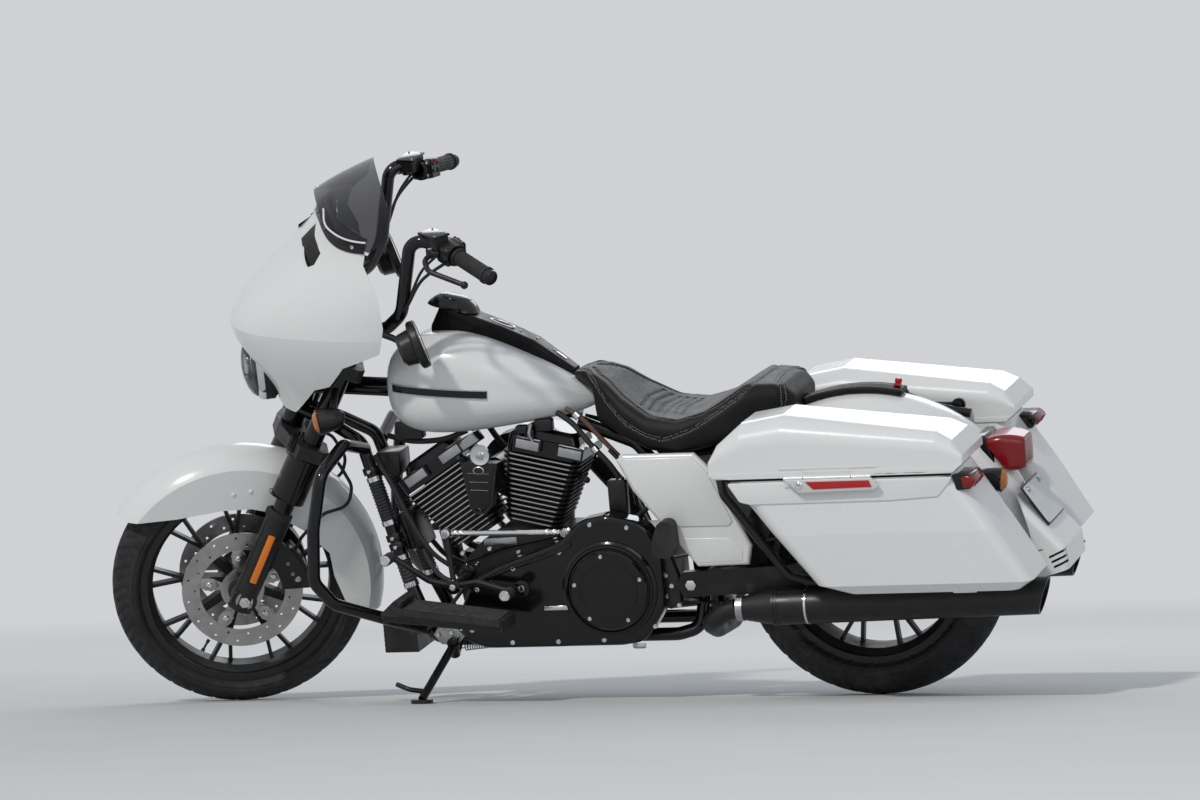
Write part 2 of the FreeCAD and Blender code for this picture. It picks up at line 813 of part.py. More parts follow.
def arch_section(crown, half_width, wall, skirt, shoulder, angle, centre):
    """The half-hoop section of a fender, in the plane through the axle at an angle."""
    a = math.radians(angle)

    def spot(radius, y):
        return centre + Vector(radius * math.cos(a), y, radius * math.sin(a))

    w, v = half_width, half_width - wall
    edges = [
        Part.LineSegment(spot(skirt, w), spot(crown - shoulder, w)).toShape(),
        Part.Arc(spot(crown - shoulder, w), spot(crown, 0), spot(crown - shoulder, -w)).toShape(),
        Part.LineSegment(spot(crown - shoulder, -w), spot(skirt, -w)).toShape(),
        Part.LineSegment(spot(skirt, -w), spot(skirt, -v)).toShape(),
        Part.LineSegment(spot(skirt, -v), spot(crown - shoulder, -v)).toShape(),
        Part.Arc(spot(crown - shoulder, -v), spot(crown - wall, 0), spot(crown - shoulder, v)).toShape(),
        Part.LineSegment(spot(crown - shoulder, v), spot(skirt, v)).toShape(),
        Part.LineSegment(spot(skirt, v), spot(skirt, w)).toShape(),
    ]
    return Part.Face(Part.Wire(edges))


def arch(crown, half_width, wall, skirt, shoulder, start, end, centre):
    face = arch_section(crown, half_width, wall, skirt, shoulder, start, centre)
    return face.revolve(centre, Vector(0, -1, 0), end - start)


def from_axle(centre, spots):
    return [(centre.x + x, centre.z + z) for x, z in spots]


fender_crown = front_radius + num("fender_gap") + num("fender_wall") + 1.5
fender_half = num("fender_half_width")
# skirt's lower edge from nose to tail, (x, z) from the front axle
FRONT_SKIRT = [
    (300, 222),
    (257, 214),
    (138, 211),
    (24, 217),
    (-47, 212),
    (-90, 197),
    (-168, 138),
    (-225, 69),
    (-230, 7),
    (-252, -71),
    (-300, -110),
    (-380, -118),
]
fender = arch(fender_crown, fender_half, num("fender_wall"), 205, 40, num("front_fender_start"), num("front_fender_end"), front_axle)
keep = from_axle(front_axle, FRONT_SKIRT + [(-480, -118), (-480, 480), (400, 480), (400, 222)])
fender = fender.common(side_plate(keep, -200, 200))
stay = cylinder_on(on_fork(205, fender_half - 1.5), Vector(0, 1, 0), 15, fork_spread - slider_radius - fender_half + 1.3)
fender = fender.fuse(pair(stay).Solids[0]).fuse(pair(stay).Solids[1])
add("front_fender", fender, parked_steered)


def tangent_arc(start, heading, end):
    """The arc that leaves start along its heading and ends at end."""
    chord = end - start
    normal = Vector(0, 0, 1).cross(heading)
    reach = chord.dot(normal)
    radius = chord.Length**2 / (2 * reach)
    centre = start + normal * radius
    middle = ((start - centre) + (end - centre)).normalize() * abs(radius)
    return Part.Arc(start, centre + middle, end).toShape()


def bow(z, nose, half_width, front_radius_here, back_x, inset):
    """Edges of a bow-shaped curve from the right wing round the nose to the left wing."""
    spread = math.radians(50)
    radius = front_radius_here - inset
    centre = Vector(nose - front_radius_here, 0, z)
    left = centre + Vector(radius * math.cos(spread), radius * math.sin(spread), 0)
    wing = Vector(back_x, half_width - inset, z)
    heading = Vector(-math.sin(spread), math.cos(spread), 0)
    side = tangent_arc(left, heading, wing)
    front = Part.Arc(Vector(left.x, -left.y, z), Vector(centre.x + radius, 0, z), left).toShape()
    return [side.mirror(Vector(), Vector(0, 1, 0)), front, side]


def bow_section(row, back_x, wall, inset=0.0):
    z, nose, half_width, radius = row
    outer = bow(z, nose, half_width, radius, back_x, inset)
    inner = bow(z, nose, half_width, radius, back_x, inset + wall)
    y0, y1 = half_width - inset, half_width - inset - wall
    ends = [
        Part.LineSegment(Vector(back_x, y0, z), Vector(back_x, y1, z)).toShape(),
        Part.LineSegment(Vector(back_x, -y0, z), Vector(back_x, -y1, z)).toShape(),
    ]
    return Part.Wire(Part.__sortEdges__(outer + inner + ends))


# height, nose x, half width at the wings, nose radius
FAIRING_ROWS = [
    (745, 1464, 235, 180),
    (863, 1513, 290, 195),
    (930, 1550, 322, 200),
    (1000, 1570, 340, 205),
    (1060, 1533, 345, 220),
    (1150, 1430, 340, 260),
    (1300, 1273, 300, 280),
    (1390, 1180, 268, 282),
]
NOSE_ROW = 3  # the crease: the lofts below and above it share this section
fairing_wall = num("fairing_wall")
seat_gap = num("seat_gap")
wings = 1100


def creased(section):
    """The lofts under and over the nose's crease, as one solid."""
    rings = [section(row) for row in FAIRING_ROWS]
    return loft(rings[: NOSE_ROW + 1]).fuse(loft(rings[NOSE_ROW:]))


fairing = creased(lambda row: bow_section(row, wings, fairing_wall))


def hollow_section(row, back_x, inset):
    z, nose, half_width, radius = row
    edges = bow(z, nose, half_width, radius, back_x, inset)
    y = half_width - inset
    edges.append(Part.LineSegment(Vector(back_x, y, z), Vector(back_x, -y, z)).toShape())
    return Part.Wire(Part.__sortEdges__(edges))


fairing_hollow = creased(lambda row: hollow_section(row, wings, fairing_wall + seat_gap))
FAIRING_SIDE = [
    (1700, 1268),
    (1700, 770),
    (1440, 776),
    (1391, 855),
    (1354, 869),
    (1319, 925),
    (1229, 965),
    (1214, 1031),
    (1217, 1106),
    (1241, 1177),
    (1222, 1233),
    (1300, 1268),
]
fairing = fairing.common(side_plate(FAIRING_SIDE, -400, 400))
lamp_centre = Vector(num("headlamp_x"), 0, num("headlamp_z"))
lamp_radius = num("headlamp_radius")
lamp_axis = Vector(1, 0, 0)
fairing = fairing.cut(cylinder_on(lamp_centre - lamp_axis * 250, lamp_axis, lamp_radius + seat_gap, 400))
# one side's air vent under the screen, (y, z)
VENT = [(34, 1236), (58, 1204), (88, 1183), (150, 1157), (163, 1166), (153, 1190), (120, 1204), (84, 1215)]
vent = face_of([Vector(1250, y, z) for y, z in VENT]).extrude(Vector(250, 0, 0))
fairing = fairing.cut([vent, mirrored(vent)])
add("fairing", fairing, parked_steered)

# bezel and domed lens, (along the axis, radius) from the back
LAMP_OUTLINE = [(-48, 0), (-48, 54), (-18, lamp_radius), (12, lamp_radius), (20, lamp_radius - 5), (17, lamp_radius - 9)]
LENS_DEPTH = 38
lens_edge = lamp_radius - 9
LAMP_OUTLINE += [(17 + LENS_DEPTH * math.sin(math.radians(a)), lens_edge * math.cos(math.radians(a))) for a in (12, 28, 46, 66)]
LAMP_OUTLINE += [(17 + LENS_DEPTH, 0)]
add("headlamp", turned(LAMP_OUTLINE, lamp_centre, lamp_axis), parked_steered)

INNER_SIDE = [
    (1400, 1240),
    (1400, 940),
    (1330, 930),
    (1240, 972),
    (1226, 1033),
    (1229, 1104),
    (1253, 1175),
    (1240, 1226),
]
# height, x at the middle, x at the wings
DASH_ROWS = [
    (925, 1312, 1252),
    (1060, 1302, 1238),
    (1245, 1290, 1248),
]


def dash_section(z, middle, wing):
    """A bowed strip across the whole fairing."""
    t = fairing_wall
    edges = [
        Part.Arc(Vector(wing, -370, z), Vector(middle, 0, z), Vector(wing, 370, z)).toShape(),
        Part.LineSegment(Vector(wing, 370, z), Vector(wing - t, 370, z)).toShape(),
        Part.Arc(Vector(wing - t, 370, z), Vector(middle - t, 0, z), Vector(wing - t, -370, z)).toShape(),
        Part.LineSegment(Vector(wing - t, -370, z), Vector(wing, -370, z)).toShape(),
    ]
    return Part.Wire(edges)


inner = loft([dash_section(*row) for row in DASH_ROWS], True)
inner = inner.common(side_plate(INNER_SIDE, -400, 400)).common(fairing_hollow)

screen_wall = num("screen_wall")
screen = loft([bow_section(row, wings, screen_wall, fairing_wall + seat_gap) for row in FAIRING_ROWS])
SCREEN_SIDE = [
    (1318, 1250),
    (1226, 1212),
    (1180, 1238),
    (1163, 1300),
    (1176, 1350),
    (1188, 1374),
    (1240, 1374),
    (1330, 1290),
]
screen = screen.common(side_plate(SCREEN_SIDE, -400, 400))
add("windshield", screen, parked_steered)

# Handlebar: risers on the upper yoke, then up, out and back to the grips
bar_radius = num("bar_radius")
grip_end = Vector(num("grip_end_x"), num("grip_end_y"), num("grip_end_z"))
grip_start = Vector(1020, 366, 1208)
foot = upper_yoke + steer_axis * (yoke_thick / 2)
riser_top = Vector(foot.x - 22, 0, num("bar_foot_z"))
bar_points = [
    riser_top,
    riser_top + Vector(-6, 120, 0),
    Vector(1204, 248, num("bar_foot_z") + 8),
    Vector(1164, 290, num("bar_foot_z") + 56),
    Vector(1122, 304, num("bar_rise_top")),
    grip_start - (grip_end - grip_start).normalize() * 42,
    grip_start,
]
half_bar = tube(bar_points[:-1] + [grip_start + (grip_end - grip_start) * 0.97], bar_radius, 60)
risers = [bar((foot.x - 12, side * 46, foot.z - 3), (riser_top.x, side * 46, riser_top.z), 17) for side in (1, -1)]
handlebar = half_bar.fuse([mirrored(half_bar)] + risers).cut(yokes)
add("handlebar", handlebar, parked_steered)

# The dash is notched round the bar and rests on it
bar_space = tube(bar_points[:-1] + [grip_start + (grip_end - grip_start) * 0.97], bar_radius + seat_gap, 60)
riser_space = [bar((foot.x - 12, side * 46, foot.z - 3), (riser_top.x, side * 46, riser_top.z), 17 + seat_gap) for side in (1, -1)]
inner = inner.cut([bar_space, mirrored(bar_space)] + riser_space).cut(yokes)
add("inner_fairing", max(inner.Solids, key=lambda part: part.Volume), parked_steered)

grip_way = (grip_end - grip_start).normalize()
grip_length = (grip_end - grip_start).Length
grip = cylinder_on(grip_start + grip_way * 2, grip_way, num("grip_radius"), grip_length)
grip = grip.cut(cylinder_on(grip_start - grip_way * 10, grip_way, bar_radius + 0.1, grip_length * 0.97 + 12))
add("grips", pair(grip), parked_steered)

housing = cylinder_on(grip_start - grip_way * 52, grip_way, 27, 50)
housing = housing.cut(cylinder_on(grip_start - grip_way * 80, grip_way, bar_radius + 0.1, 120))
lever_root = grip_start - grip_way * 40 + Vector(30, 6, 0)
lever_tip = grip_end + Vector(62, -16, -16)
lever = tube([lever_root, lever_root + Vector(30, 22, -8), lever_root + Vector(26, 70, -22), lever_tip], 6.5, 30)
lever = lever.fuse(Part.makeSphere(9.5, lever_tip))
perch = bar(grip_start - grip_way * 34 + Vector(27, 5, 0), lever_root + Vector(12, 4, 0), 12)
reservoir = Part.makeBox(44, 66, 30, Vector(-22, -33, 0))
reservoir = reservoir.makeFillet(7, [e for e in reservoir.Edges if e.BoundBox.ZLength > 29])
reservoir.rotate(Vector(), Vector(0, 0, 1), math.degrees(math.atan2(grip_way.y, grip_way.x)) - 90)
reservoir.translate(grip_start - grip_way * 48 + Vector(24, -6, 8))
controls = lever.fuse([perch, housing, reservoir]).cut(half_bar)
add("hand_controls", pair(controls), parked_steered)

# round mirrors whose rim faces the rider over a narrower cup, (along the axis, radius) from the glass
MIRROR_OUTLINE = [(0, 0), (0, 57), (3, 60), (15, 60), (19, 56), (22, 44), (48, 40), (56, 30), (56, 0)]
mirror_centre = Vector(1128, 352, 998)
mirror_axis = Vector(0.95, 0, -0.27).normalize()
mirror = turned(MIRROR_OUTLINE, mirror_centre, mirror_axis)
stalk_root = mirror_centre + mirror_axis * 36 + Vector(0, -30, 0)
mirror = mirror.fuse(tube([stalk_root, stalk_root + Vector(30, -16, 16), Vector(1246, 296, 1030)], 8, 20)).cut(fairing)
mirror = max(mirror.Solids, key=lambda part: part.Volume)
add("mirrors", pair(mirror), parked_steered)

# bullet signals, (along the axis, radius) from the pointed end to the lens
SIGNAL_OUTLINE = [(-40, 0), (-39, 10), (-32, 19), (-16, 27), (6, 31), (26, 32), (29, 30), (30, 27), (36, 20), (39, 0)]
signal_centre = Vector(1366, 232, 792)
signal = turned(SIGNAL_OUTLINE, signal_centre, Vector(1, 0, -0.1).normalize())
signal = signal.fuse(bar(signal_centre + Vector(-6, 0, 0), lower_yoke + Vector(-116, 150, 135), 9))
add("front_signals", pair(signal.cut(inner_tube)), parked_steered)

# Brake hoses: from each caliper in a loop behind the fork, up to the lower yoke
hose_points = [
    front_axle + Vector(-128, disc_offset - 4, 62),
    front_axle + Vector(-160, disc_offset + 30, 128),
    front_axle + Vector(-222, disc_offset + 38, 186),
    front_axle + Vector(-284, disc_offset + 38, 196),
    front_axle + Vector(-300, disc_offset + 36, 246),
    front_axle + Vector(-272, disc_offset + 28, 312),
    lower_yoke + Vector(-58, 66, -36),
    lower_yoke + Vector(-6, 60, -8),
]
hose = tube(hose_points, num("hose_radius"), 44).cut([front_caliper, bracket, yokes, slider, cover])
hose = max(hose.Solids, key=lambda part: part.Volume)
add("brake_hoses", pair(hose), parked_steered)


# Frame and what it carries, drawn upright

rail_y = num("rail_offset")
rail_z = num("rail_height")
frame_radius = num("frame_tube_radius")
head_radius = num("head_tube_radius")
head_start = lower_yoke + steer_axis * (yoke_thick / 2 + 1)
head_length = (upper_yoke - lower_yoke).Length - yoke_thick - 2
pivot = Vector(num("pivot_x"), 0, num("pivot_z"))

cradle = tube(
    [
        lower_yoke + Vector(-28.6, 22, 58),
        lower_yoke + Vector(-126.6, 44, 15),
        lower_yoke + Vector(-202.6, 60, -28),
        (1150, 80, 310),
        (1100, rail_y - 4, rail_z + 8),
        (1030, rail_y, rail_z),
        (474, rail_y, rail_z),
        (426, 78, rail_z + 10),
        (414, 66, 262),
        (424, 66, 420),
        (474, 66, 548),
        (556, 56, 646),
        (704, 16, 694),
    ],
    frame_radius,
    46,
)
seat_rail = tube([(506, 62, 586), (430, 96, 622), (300, 134, 640), (120, 134, 660), (-59, 134, 690), (-232, 134, 655)], 11, 60)
backbone = tube([(lower_yoke + upper_yoke) / 2 + Vector(-2.6, 0, 9.5), (1180, 0, 794), (704, 0, 722)], 24, 90)
head = cylinder_on(head_start, steer_axis, head_radius, head_length)
mid_cross = bar((470, -66, 540), (470, 66, 540), 14)
low_cross = bar((1050, -rail_y, rail_z), (1050, rail_y, rail_z), 14)
frame = head.fuse([backbone, cradle, mirrored(cradle), seat_rail, mirrored(seat_rail), mid_cross, low_cross])
seat_gap = num("seat_gap")
ROOF = [(690, 752), (1180, 826)]


def tank_roof(x):
    """Height of the tunnel roof under the tank."""
    (x0, z0), (x1, z1) = ROOF
    return z0 + (x - x0) * (z1 - z0) / (x1 - x0)


def tank_pad(x):
    top = [(x - 15, tank_roof(x - 15) - seat_gap), (x + 15, tank_roof(x + 15) - seat_gap)]
    return side_plate(top + [(x + 15, tank_roof(x) - 28), (x - 15, tank_roof(x) - 28)], -14, 14)


fender_side = num("rear_fender_half_width") + seat_gap
bosses = [bar((x, fender_side, z), (x, 134, z), 8) for x, z in ((120, 656), (0, 674))]
frame = frame.fuse([tank_pad(750), tank_pad(1095)] + bosses + [mirrored(b) for b in bosses])
frame = frame.cut(cylinder_on(head_start - steer_axis * 40, steer_axis, num("stem_radius") + 1, head_length + 80))
shaft_radius = 13
frame = frame.cut(bar((pivot.x - 10, -160, pivot.z), (pivot.x - 10, 160, pivot.z), shaft_radius + 0.3))

guard_radius = num("guard_tube_radius")
guard_y = num("guard_reach")
guard = tube(
    [
        (1244, 66, 654),
        (1252, 200, 690),
        (1276, guard_y - 12, 640),
        (1303, guard_y, 508),
        (1314, guard_y, 378),
        (1278, guard_y - 26, 318),
        (1160, 190, 246),
        (1112, rail_y - 4, rail_z + 24),
    ],
    guard_radius,
    44,
)
add("engine_guard", pair(guard.cut(cradle)))

# Engine: block, finned cylinders, rocker boxes
crank = Vector(num("crank_x"), 0, num("crank_z"))
case_half = num("case_half_width")
CASE_SIDE = [
    (1004, 205),
    (1020, 290),
    (1006, 372),
    (952, 424),
    (905, 452),
    (850, 448),
    (770, 436),
    (706, 436),
    (640, 424),
    (520, 424),
    (492, 380),
    (488, 262),
    (560, 205),
    (690, 190),
    (760, 150),
    (960, 150),
]
case = rounded_plate(CASE_SIDE, -case_half, case_half, 24)
boss = cylinder_on(crank + Vector(0, case_half - 1, 0), Vector(0, 1, 0), 92, 31)
cam_cover = cylinder_on(crank + Vector(-20, -case_half + 1, 40), Vector(0, -1, 0), 96, 36)
case = case.fuse([boss, cam_cover])
flank = Part.makeBox(700, 60, 60, Vector(400, case_half - 10, 142))
case = case.cut(flank).cut(mirrored(flank))
add("engine_case", case)

barrel_start = num("barrel_start")
barrel_end = num("barrel_end")
fin_depth = num("fin_depth")
wide_start, wide_end = num("fin_width_start"), num("fin_width_end")
fins = int(num("fin_count"))
rocker_height = num("rocker_height")


def cylinder_axes(angle):
    a = math.radians(angle)
    up = Vector(math.sin(a), 0, math.cos(a))
    fore = Vector(math.cos(a), 0, -math.sin(a))
    return up, fore


manifold = Vector(931, 0, 592)
manifold_radius = 22


def finned_cylinder(angle):
    """A barrel with its fins and the port that reaches the intake manifold."""
    up, fore = cylinder_axes(angle)
    rise, reach = (manifold - crank).dot(up), (manifold - crank).dot(fore)
    way = fore if reach > 0 else -fore
    port = cylinder_on(crank + up * rise, way, 19, abs(reach) - manifold_radius - 0.3)
    length = barrel_end - barrel_start
    core = cylinder_on(crank + up * (barrel_start - 8), up, num("bore_radius"), length + 8)
    plates = []
    for i in range(fins):
        share = (i + 0.5) / fins
        width = wide_start + (wide_end - wide_start) * share**0.8
        centre = crank + up * (barrel_start + length * share - num("fin_thickness") / 2)
        ring = rounded_rectangle(centre, fore, Vector(0, 1, 0), width / 2, fin_depth / 2 * (0.86 + 0.14 * share), 26)
        plates.append(Part.Face(ring).extrude(up * num("fin_thickness")))
    return core.fuse(plates + [port])


def rocker_box(angle):
    up, fore = cylinder_axes(angle)
    base = crank + up * barrel_end
    left = Vector(0, 1, 0)
    half_long, half_deep = wide_end / 2 - 8, fin_depth / 2 - 6
    tier = rocker_height * 0.6
    lower = Part.Face(rounded_rectangle(base, fore, left, half_long, half_deep, 22)).extrude(up * tier)
    # rise, half length, half depth of the cover on top
    rows = [(tier, half_long - 12, half_deep - 12), (rocker_height - 8, half_long - 20, half_deep - 16), (rocker_height, half_long - 32, half_deep - 28)]
    middle = base + fore * (num("rocker_shift") / 2)
    cover = loft([rounded_rectangle(middle + up * rise, fore, left, a, b, 18) for rise, a, b in rows], True)
    blocks = []
    for way in (-54, 54):
        centre = base + fore * (num("rocker_shift") + way) + up * (tier * 0.62)
        blocks.append(Part.Face(rounded_rectangle(centre - left * (half_deep + 2), fore, up, 34, 15, 4)).extrude(left * (2 * half_deep + 14)))
    return lower.fuse([cover] + blocks)


ANGLES = [num("front_cylinder_angle"), num("rear_cylinder_angle")]
add("cylinders", Part.makeCompound([finned_cylinder(angle).cut(case) for angle in ANGLES]))
add("rocker_boxes", Part.makeCompound([rocker_box(angle) for angle in ANGLES]))

HORN_SIDE = [(984, 624), (890, 618), (912, 512), (930, 494), (956, 494), (968, 512)]
horn = side_plate(HORN_SIDE, fin_depth / 2 + 4, fin_depth / 2 + 40)
horn_stay = bar((931, fin_depth / 2 + 10, 592), (931, 20.3, 592), 12)
horn_hook = bar((933, fin_depth / 2 + 20, 615), (930, fin_depth / 2 + 20, 655), 9)
add("horn_cover", horn.fuse([horn_stay, horn_hook]).cut(case))

# Primary case on the left with its round clutch cover
primary_face = num("primary_face")
primary_inner = case_half + 30
clutch = Vector(num("clutch_x"), 0, num("clutch_z"))
PRIMARY_SIDE = [
    (1002, 190),
    (1004, 262),
    (966, 338),
    (905, 372),
    (735, 430),
    (682, 480),
    (615, 492),
    (522, 470),
    (484, 404),
    (484, 262),
    (540, 178),
    (600, 170),
    (940, 170),
]
primary = rounded_plate(PRIMARY_SIDE, primary_inner, primary_face, 60)
outer_edges = [e for e in primary.Edges if abs(e.BoundBox.YMin - primary_face) < 0.1 and abs(e.BoundBox.YMax - primary_face) < 0.1]
primary = primary.makeFillet(12, outer_edges)
clutch_face = primary_face + num("clutch_rise")
clutch_radius = num("clutch_radius")
# round clutch bulge, (along the axis, radius) from the case outwards
BULGE_OUTLINE = [(-6, 0), (-6, clutch_radius), (num("clutch_rise") - 3, clutch_radius - 2), (num("clutch_rise"), clutch_radius - 7), (num("clutch_rise"), 0)]
primary = primary.fuse(turned(BULGE_OUTLINE, clutch + Vector(0, primary_face, 0), Vector(0, 1, 0)))
add("primary_cover", primary)
derby = cylinder_on(clutch + Vector(0, clutch_face, 0), Vector(0, 1, 0), num("derby_radius"), 10)
derby = derby.makeChamfer(4, [e for e in derby.Edges if abs(e.BoundBox.YMin - clutch_face - 10) < 0.1 and abs(e.BoundBox.YMax - clutch_face - 10) < 0.1])
add("derby_cover", derby)

# Air cleaner on the right
cleaner = cylinder_on(Vector(930, -case_half - 60, 560), Vector(0, -1, 0), 84, 58)
cleaner = cleaner.fuse(bar(manifold + Vector(0, 20, 0), manifold - Vector(0, case_half + 70, 0), manifold_radius))
add("air_cleaner", cleaner)

# Exhaust: two header pipes on the right, a cross-over behind the frame and a muffler on each side
pipe_radius = num("pipe_radius")
muffler_y = num("muffler_offset")
muffler_z = num("muffler_z")
muffler_front = num("muffler_front")
muffler_rear = num("muffler_rear")
header = tube(
    [
        (1098, -88.3, 548),
        (1098, -128, 548),
        (1128, -166, 440),
        (1116, -176, 320),
        (1040, -184, 210),
        (900, -184, 206),
        (560, -184, 206),
        (430, -196, 214),
        (350, -208, 246),
        (muffler_front + 6, -muffler_y, muffler_z),
    ],
    pipe_radius,
    70,
)
second = tube([(736, -88.3, 590), (736, -130, 590), (664, -176, 480), (604, -184, 330), (548, -184, 214)], pipe_radius, 60)
cross = tube(
    [(455, -186, 210), (378, -120, 196), (366, 0, 192), (372, 120, 198), (368, 196, 226), (330, muffler_y - 2, 254), (muffler_front + 6, muffler_y, muffler_z)],
    pipe_radius,
    60,
)
add("exhaust_pipes", header.fuse([second, cross]))

muffler_radius = num("muffler_radius")
muffler_line = Vector(muffler_rear - muffler_front, 0, 14).normalize()
muffler_start = Vector(muffler_front, muffler_y, muffler_z)
muffler_length = muffler_front - muffler_rear
cone = Part.makeCone(pipe_radius + 3, muffler_radius, 90, muffler_start, muffler_line)
shell = cylinder_on(muffler_start + muffler_line * 90, muffler_line, muffler_radius, muffler_length - 90)
tip_bore = cylinder_on(muffler_start + muffler_line * (muffler_length - 110), muffler_line, muffler_radius - 5, 140)
slash = side_plate([(muffler_rear - 90, 200), (muffler_rear + 46, 200), (muffler_rear - 4, 360), (muffler_rear - 90, 360)], 100, 320)
muffler = cone.fuse(shell).cut(cylinder_on(muffler_start - muffler_line * 4, muffler_line, pipe_radius + 0.05, 12)).cut(tip_bore).cut(slash)
add("mufflers", pair(muffler))

# Oil cooler and regulator block low on the down tubes
cooler = Part.makeBox(86, 150, 72, Vector(1150, -75, 143))
cooler_stay = bar((1152, 62, 196), (1100, rail_y - 6, 198), 7)
cooler = cooler.fuse([cooler_stay, mirrored(cooler_stay)])
add("oil_cooler", cooler.cut(cradle).cut(mirrored(cradle)))

# Floorboards, shifter, brake pedal, passenger pegs
board_thick = num("board_thickness")
BOARD_SIDE = [(844, 246), (1140, 281), (1146, 300), (1112, 330), (1092, 326), (1096, 310), (842, 274)]
board_inner = 236
board = side_plate(BOARD_SIDE, board_inner, board_inner + num("board_width"))
board_arm = tube([(1070, rail_y, rail_z + 8), (1074, rail_y + 26, 246), (1050, board_inner + 8, 272)], 10, 24)
left_board = board.fuse(board_arm.cut(cradle))
right_arm = tube([(985, -rail_y, rail_z + 8), (985, -rail_y - 26, 250), (990, -board_inner - 8, 266)], 10, 24)
right_board = mirrored(board).fuse(right_arm.cut(mirrored(cradle)))

toe_peg, heel_peg = Vector(1142, 240, 418), Vector(850, 236, 324)
toe = tube([(1000, 206, 334), (1060, 212, 350), toe_peg], 8, 40).fuse(bar(toe_peg - Vector(0, 9, 0), toe_peg + Vector(0, 52, 0), 11.5))
heel = tube([(1000, 206, 334), (940, 210, 344), heel_peg], 8, 40).fuse(bar(heel_peg - Vector(0, 9, 0), heel_peg + Vector(0, 52, 0), 11.5))
shaft = bar((1000, case_half + 0.1, 334), (1000, 216, 334), 12)
rod = bar((1014, primary_face + 16, 462), (725, primary_face - 24, 449), 6)
arm = bar((1000, 206, 334), (1014, primary_face + 16, 462), 7)
far_arm = bar((725, primary_face - 24, 449), (700, 96, 418), 8)
shifter = toe.fuse([heel, shaft, rod, arm, far_arm]).cut(primary).cut(case)

pedal = tube([(1006, -216, 316), (1090, -218, 352), (1150, -250, 392)], 9, 40)
pedal_pad = Part.makeBox(70, 62, 14, Vector(1118, -292, 386))
pedal_shaft = bar((1000, -case_half - 0.1, 316), (1000, -222, 316), 11)
pedal = pedal.fuse([pedal_pad, pedal_shaft]).cut(mirrored(cradle))
add("foot_controls", Part.makeCompound([shifter, pedal]))

peg = rounded_plate([(424, 420), (438, 398), (484, 404), (478, 448), (462, 490), (428, 488)], 214, 262, 20)
peg_mount = tube([(420, 62, 428), (466, 112, 424), (468, 222, 424)], 11, 30)
peg = peg.fuse(peg_mount).cut(cradle)
add("footrests", Part.makeCompound([left_board, right_board, peg, mirrored(peg)]))

# Swingarm and shocks
arm_y = num("swingarm_offset")
arm_half = num("swingarm_width") / 2
drop = num("swingarm_height") / 2
ARM_SIDE = [
    (-46, rear_radius - drop * 0.9),
    (-46, rear_radius + drop * 0.9),
    (60, rear_radius + drop),
    (pivot.x + 10, pivot.z + drop),
    (pivot.x + 26, pivot.z),
    (pivot.x + 10, pivot.z - drop),
    (60, rear_radius - drop),
]
arm_plate = side_plate(ARM_SIDE, arm_y - arm_half, arm_y + arm_half)
arm_plate = arm_plate.cut(bar((0, 0, rear_radius), (0, 300, rear_radius), axle_radius + gap))
cross_shaft = bar((pivot.x - 10, -arm_y - arm_half, pivot.z), (pivot.x - 10, arm_y + arm_half, pivot.z), shaft_radius)
brace = bar((372, -arm_y, 330), (372, arm_y, 330), 16)
add("swingarm", arm_plate.fuse([mirrored(arm_plate), cross_shaft, brace]))

shock_y = arm_y + arm_half + 14
shock_low = Vector(70, shock_y, 345)
shock_high = Vector(196, shock_y, 588)
shock_line = (shock_high - shock_low).normalize()
shock_length = (shock_high - shock_low).Length
shock = cylinder_on(shock_low + shock_line * 30, shock_line, 20, shock_length - 60)
shock = shock.fuse([
    bar(shock_low, shock_high, 9),
    bar(shock_low - Vector(0, 13.8, 0), shock_low + Vector(0, 13, 0), 15),
    bar(shock_high - Vector(0, 30, 0), shock_high + Vector(0, 13, 0), 15),
    bar(shock_high - Vector(0, 28, 0), (220, 134, 640), 10),
])
add("rear_shocks", pair(shock.cut(seat_rail)))

caliper_rear = caliper(rear_axle, num("rear_disc_radius"), -num("rear_disc_offset"), 20, 62)
caliper_stay = bar((90, -num("rear_disc_offset") - 20, 420), (90, -arm_y, 340), 12)
add("rear_caliper", caliper_rear.fuse(caliper_stay).cut(mirrored(arm_plate)))

belt_y0 = pulley_middle - num("pulley_width") / 2 + 1
belt_y1 = pulley_middle + num("pulley_width") / 2 - 1
drive = Vector(560, 0, 316)


def belt_wire(back_radius, drive_radius, y):
    """Two wraps and two straight runs round the wheel's pulley and the gearbox sprocket."""
    centre_a, centre_b = Vector(0, y, rear_radius), Vector(drive.x, y, drive.z)
    line = centre_b - centre_a
    base = math.atan2(line.z, line.x)
    tilt = math.acos((back_radius - drive_radius) / line.Length)

    def spot(centre, radius, angle):
        return centre + Vector(radius * math.cos(angle), 0, radius * math.sin(angle))

    a0, a1 = spot(centre_a, back_radius, base + tilt), spot(centre_a, back_radius, base - tilt)
    b0, b1 = spot(centre_b, drive_radius, base + tilt), spot(centre_b, drive_radius, base - tilt)
    return Part.Wire([
        Part.Arc(a0, spot(centre_a, back_radius, base + math.pi), a1).toShape(),
        Part.LineSegment(a1, b1).toShape(),
        Part.Arc(b1, spot(centre_b, drive_radius, base), b0).toShape(),
        Part.LineSegment(b0, a0).toShape(),
    ])


belt_inner = num("pulley_radius") + 0.4
belt = Part.Face([belt_wire(belt_inner + 4, 42, belt_y0), belt_wire(belt_inner, 38, belt_y0)])
belt.validate()
belt = belt.extrude(Vector(0, belt_y1 - belt_y0, 0))
sprocket = cylinder_on(Vector(drive.x, belt_y0, drive.z), Vector(0, 1, 0), 37.8, belt_y1 - belt_y0)
hub = cylinder_on(Vector(drive.x, case_half, drive.z), Vector(0, 1, 0), 20, primary_inner - case_half)
add("drive_belt", Part.makeCompound([belt, sprocket.fuse(hub)]))

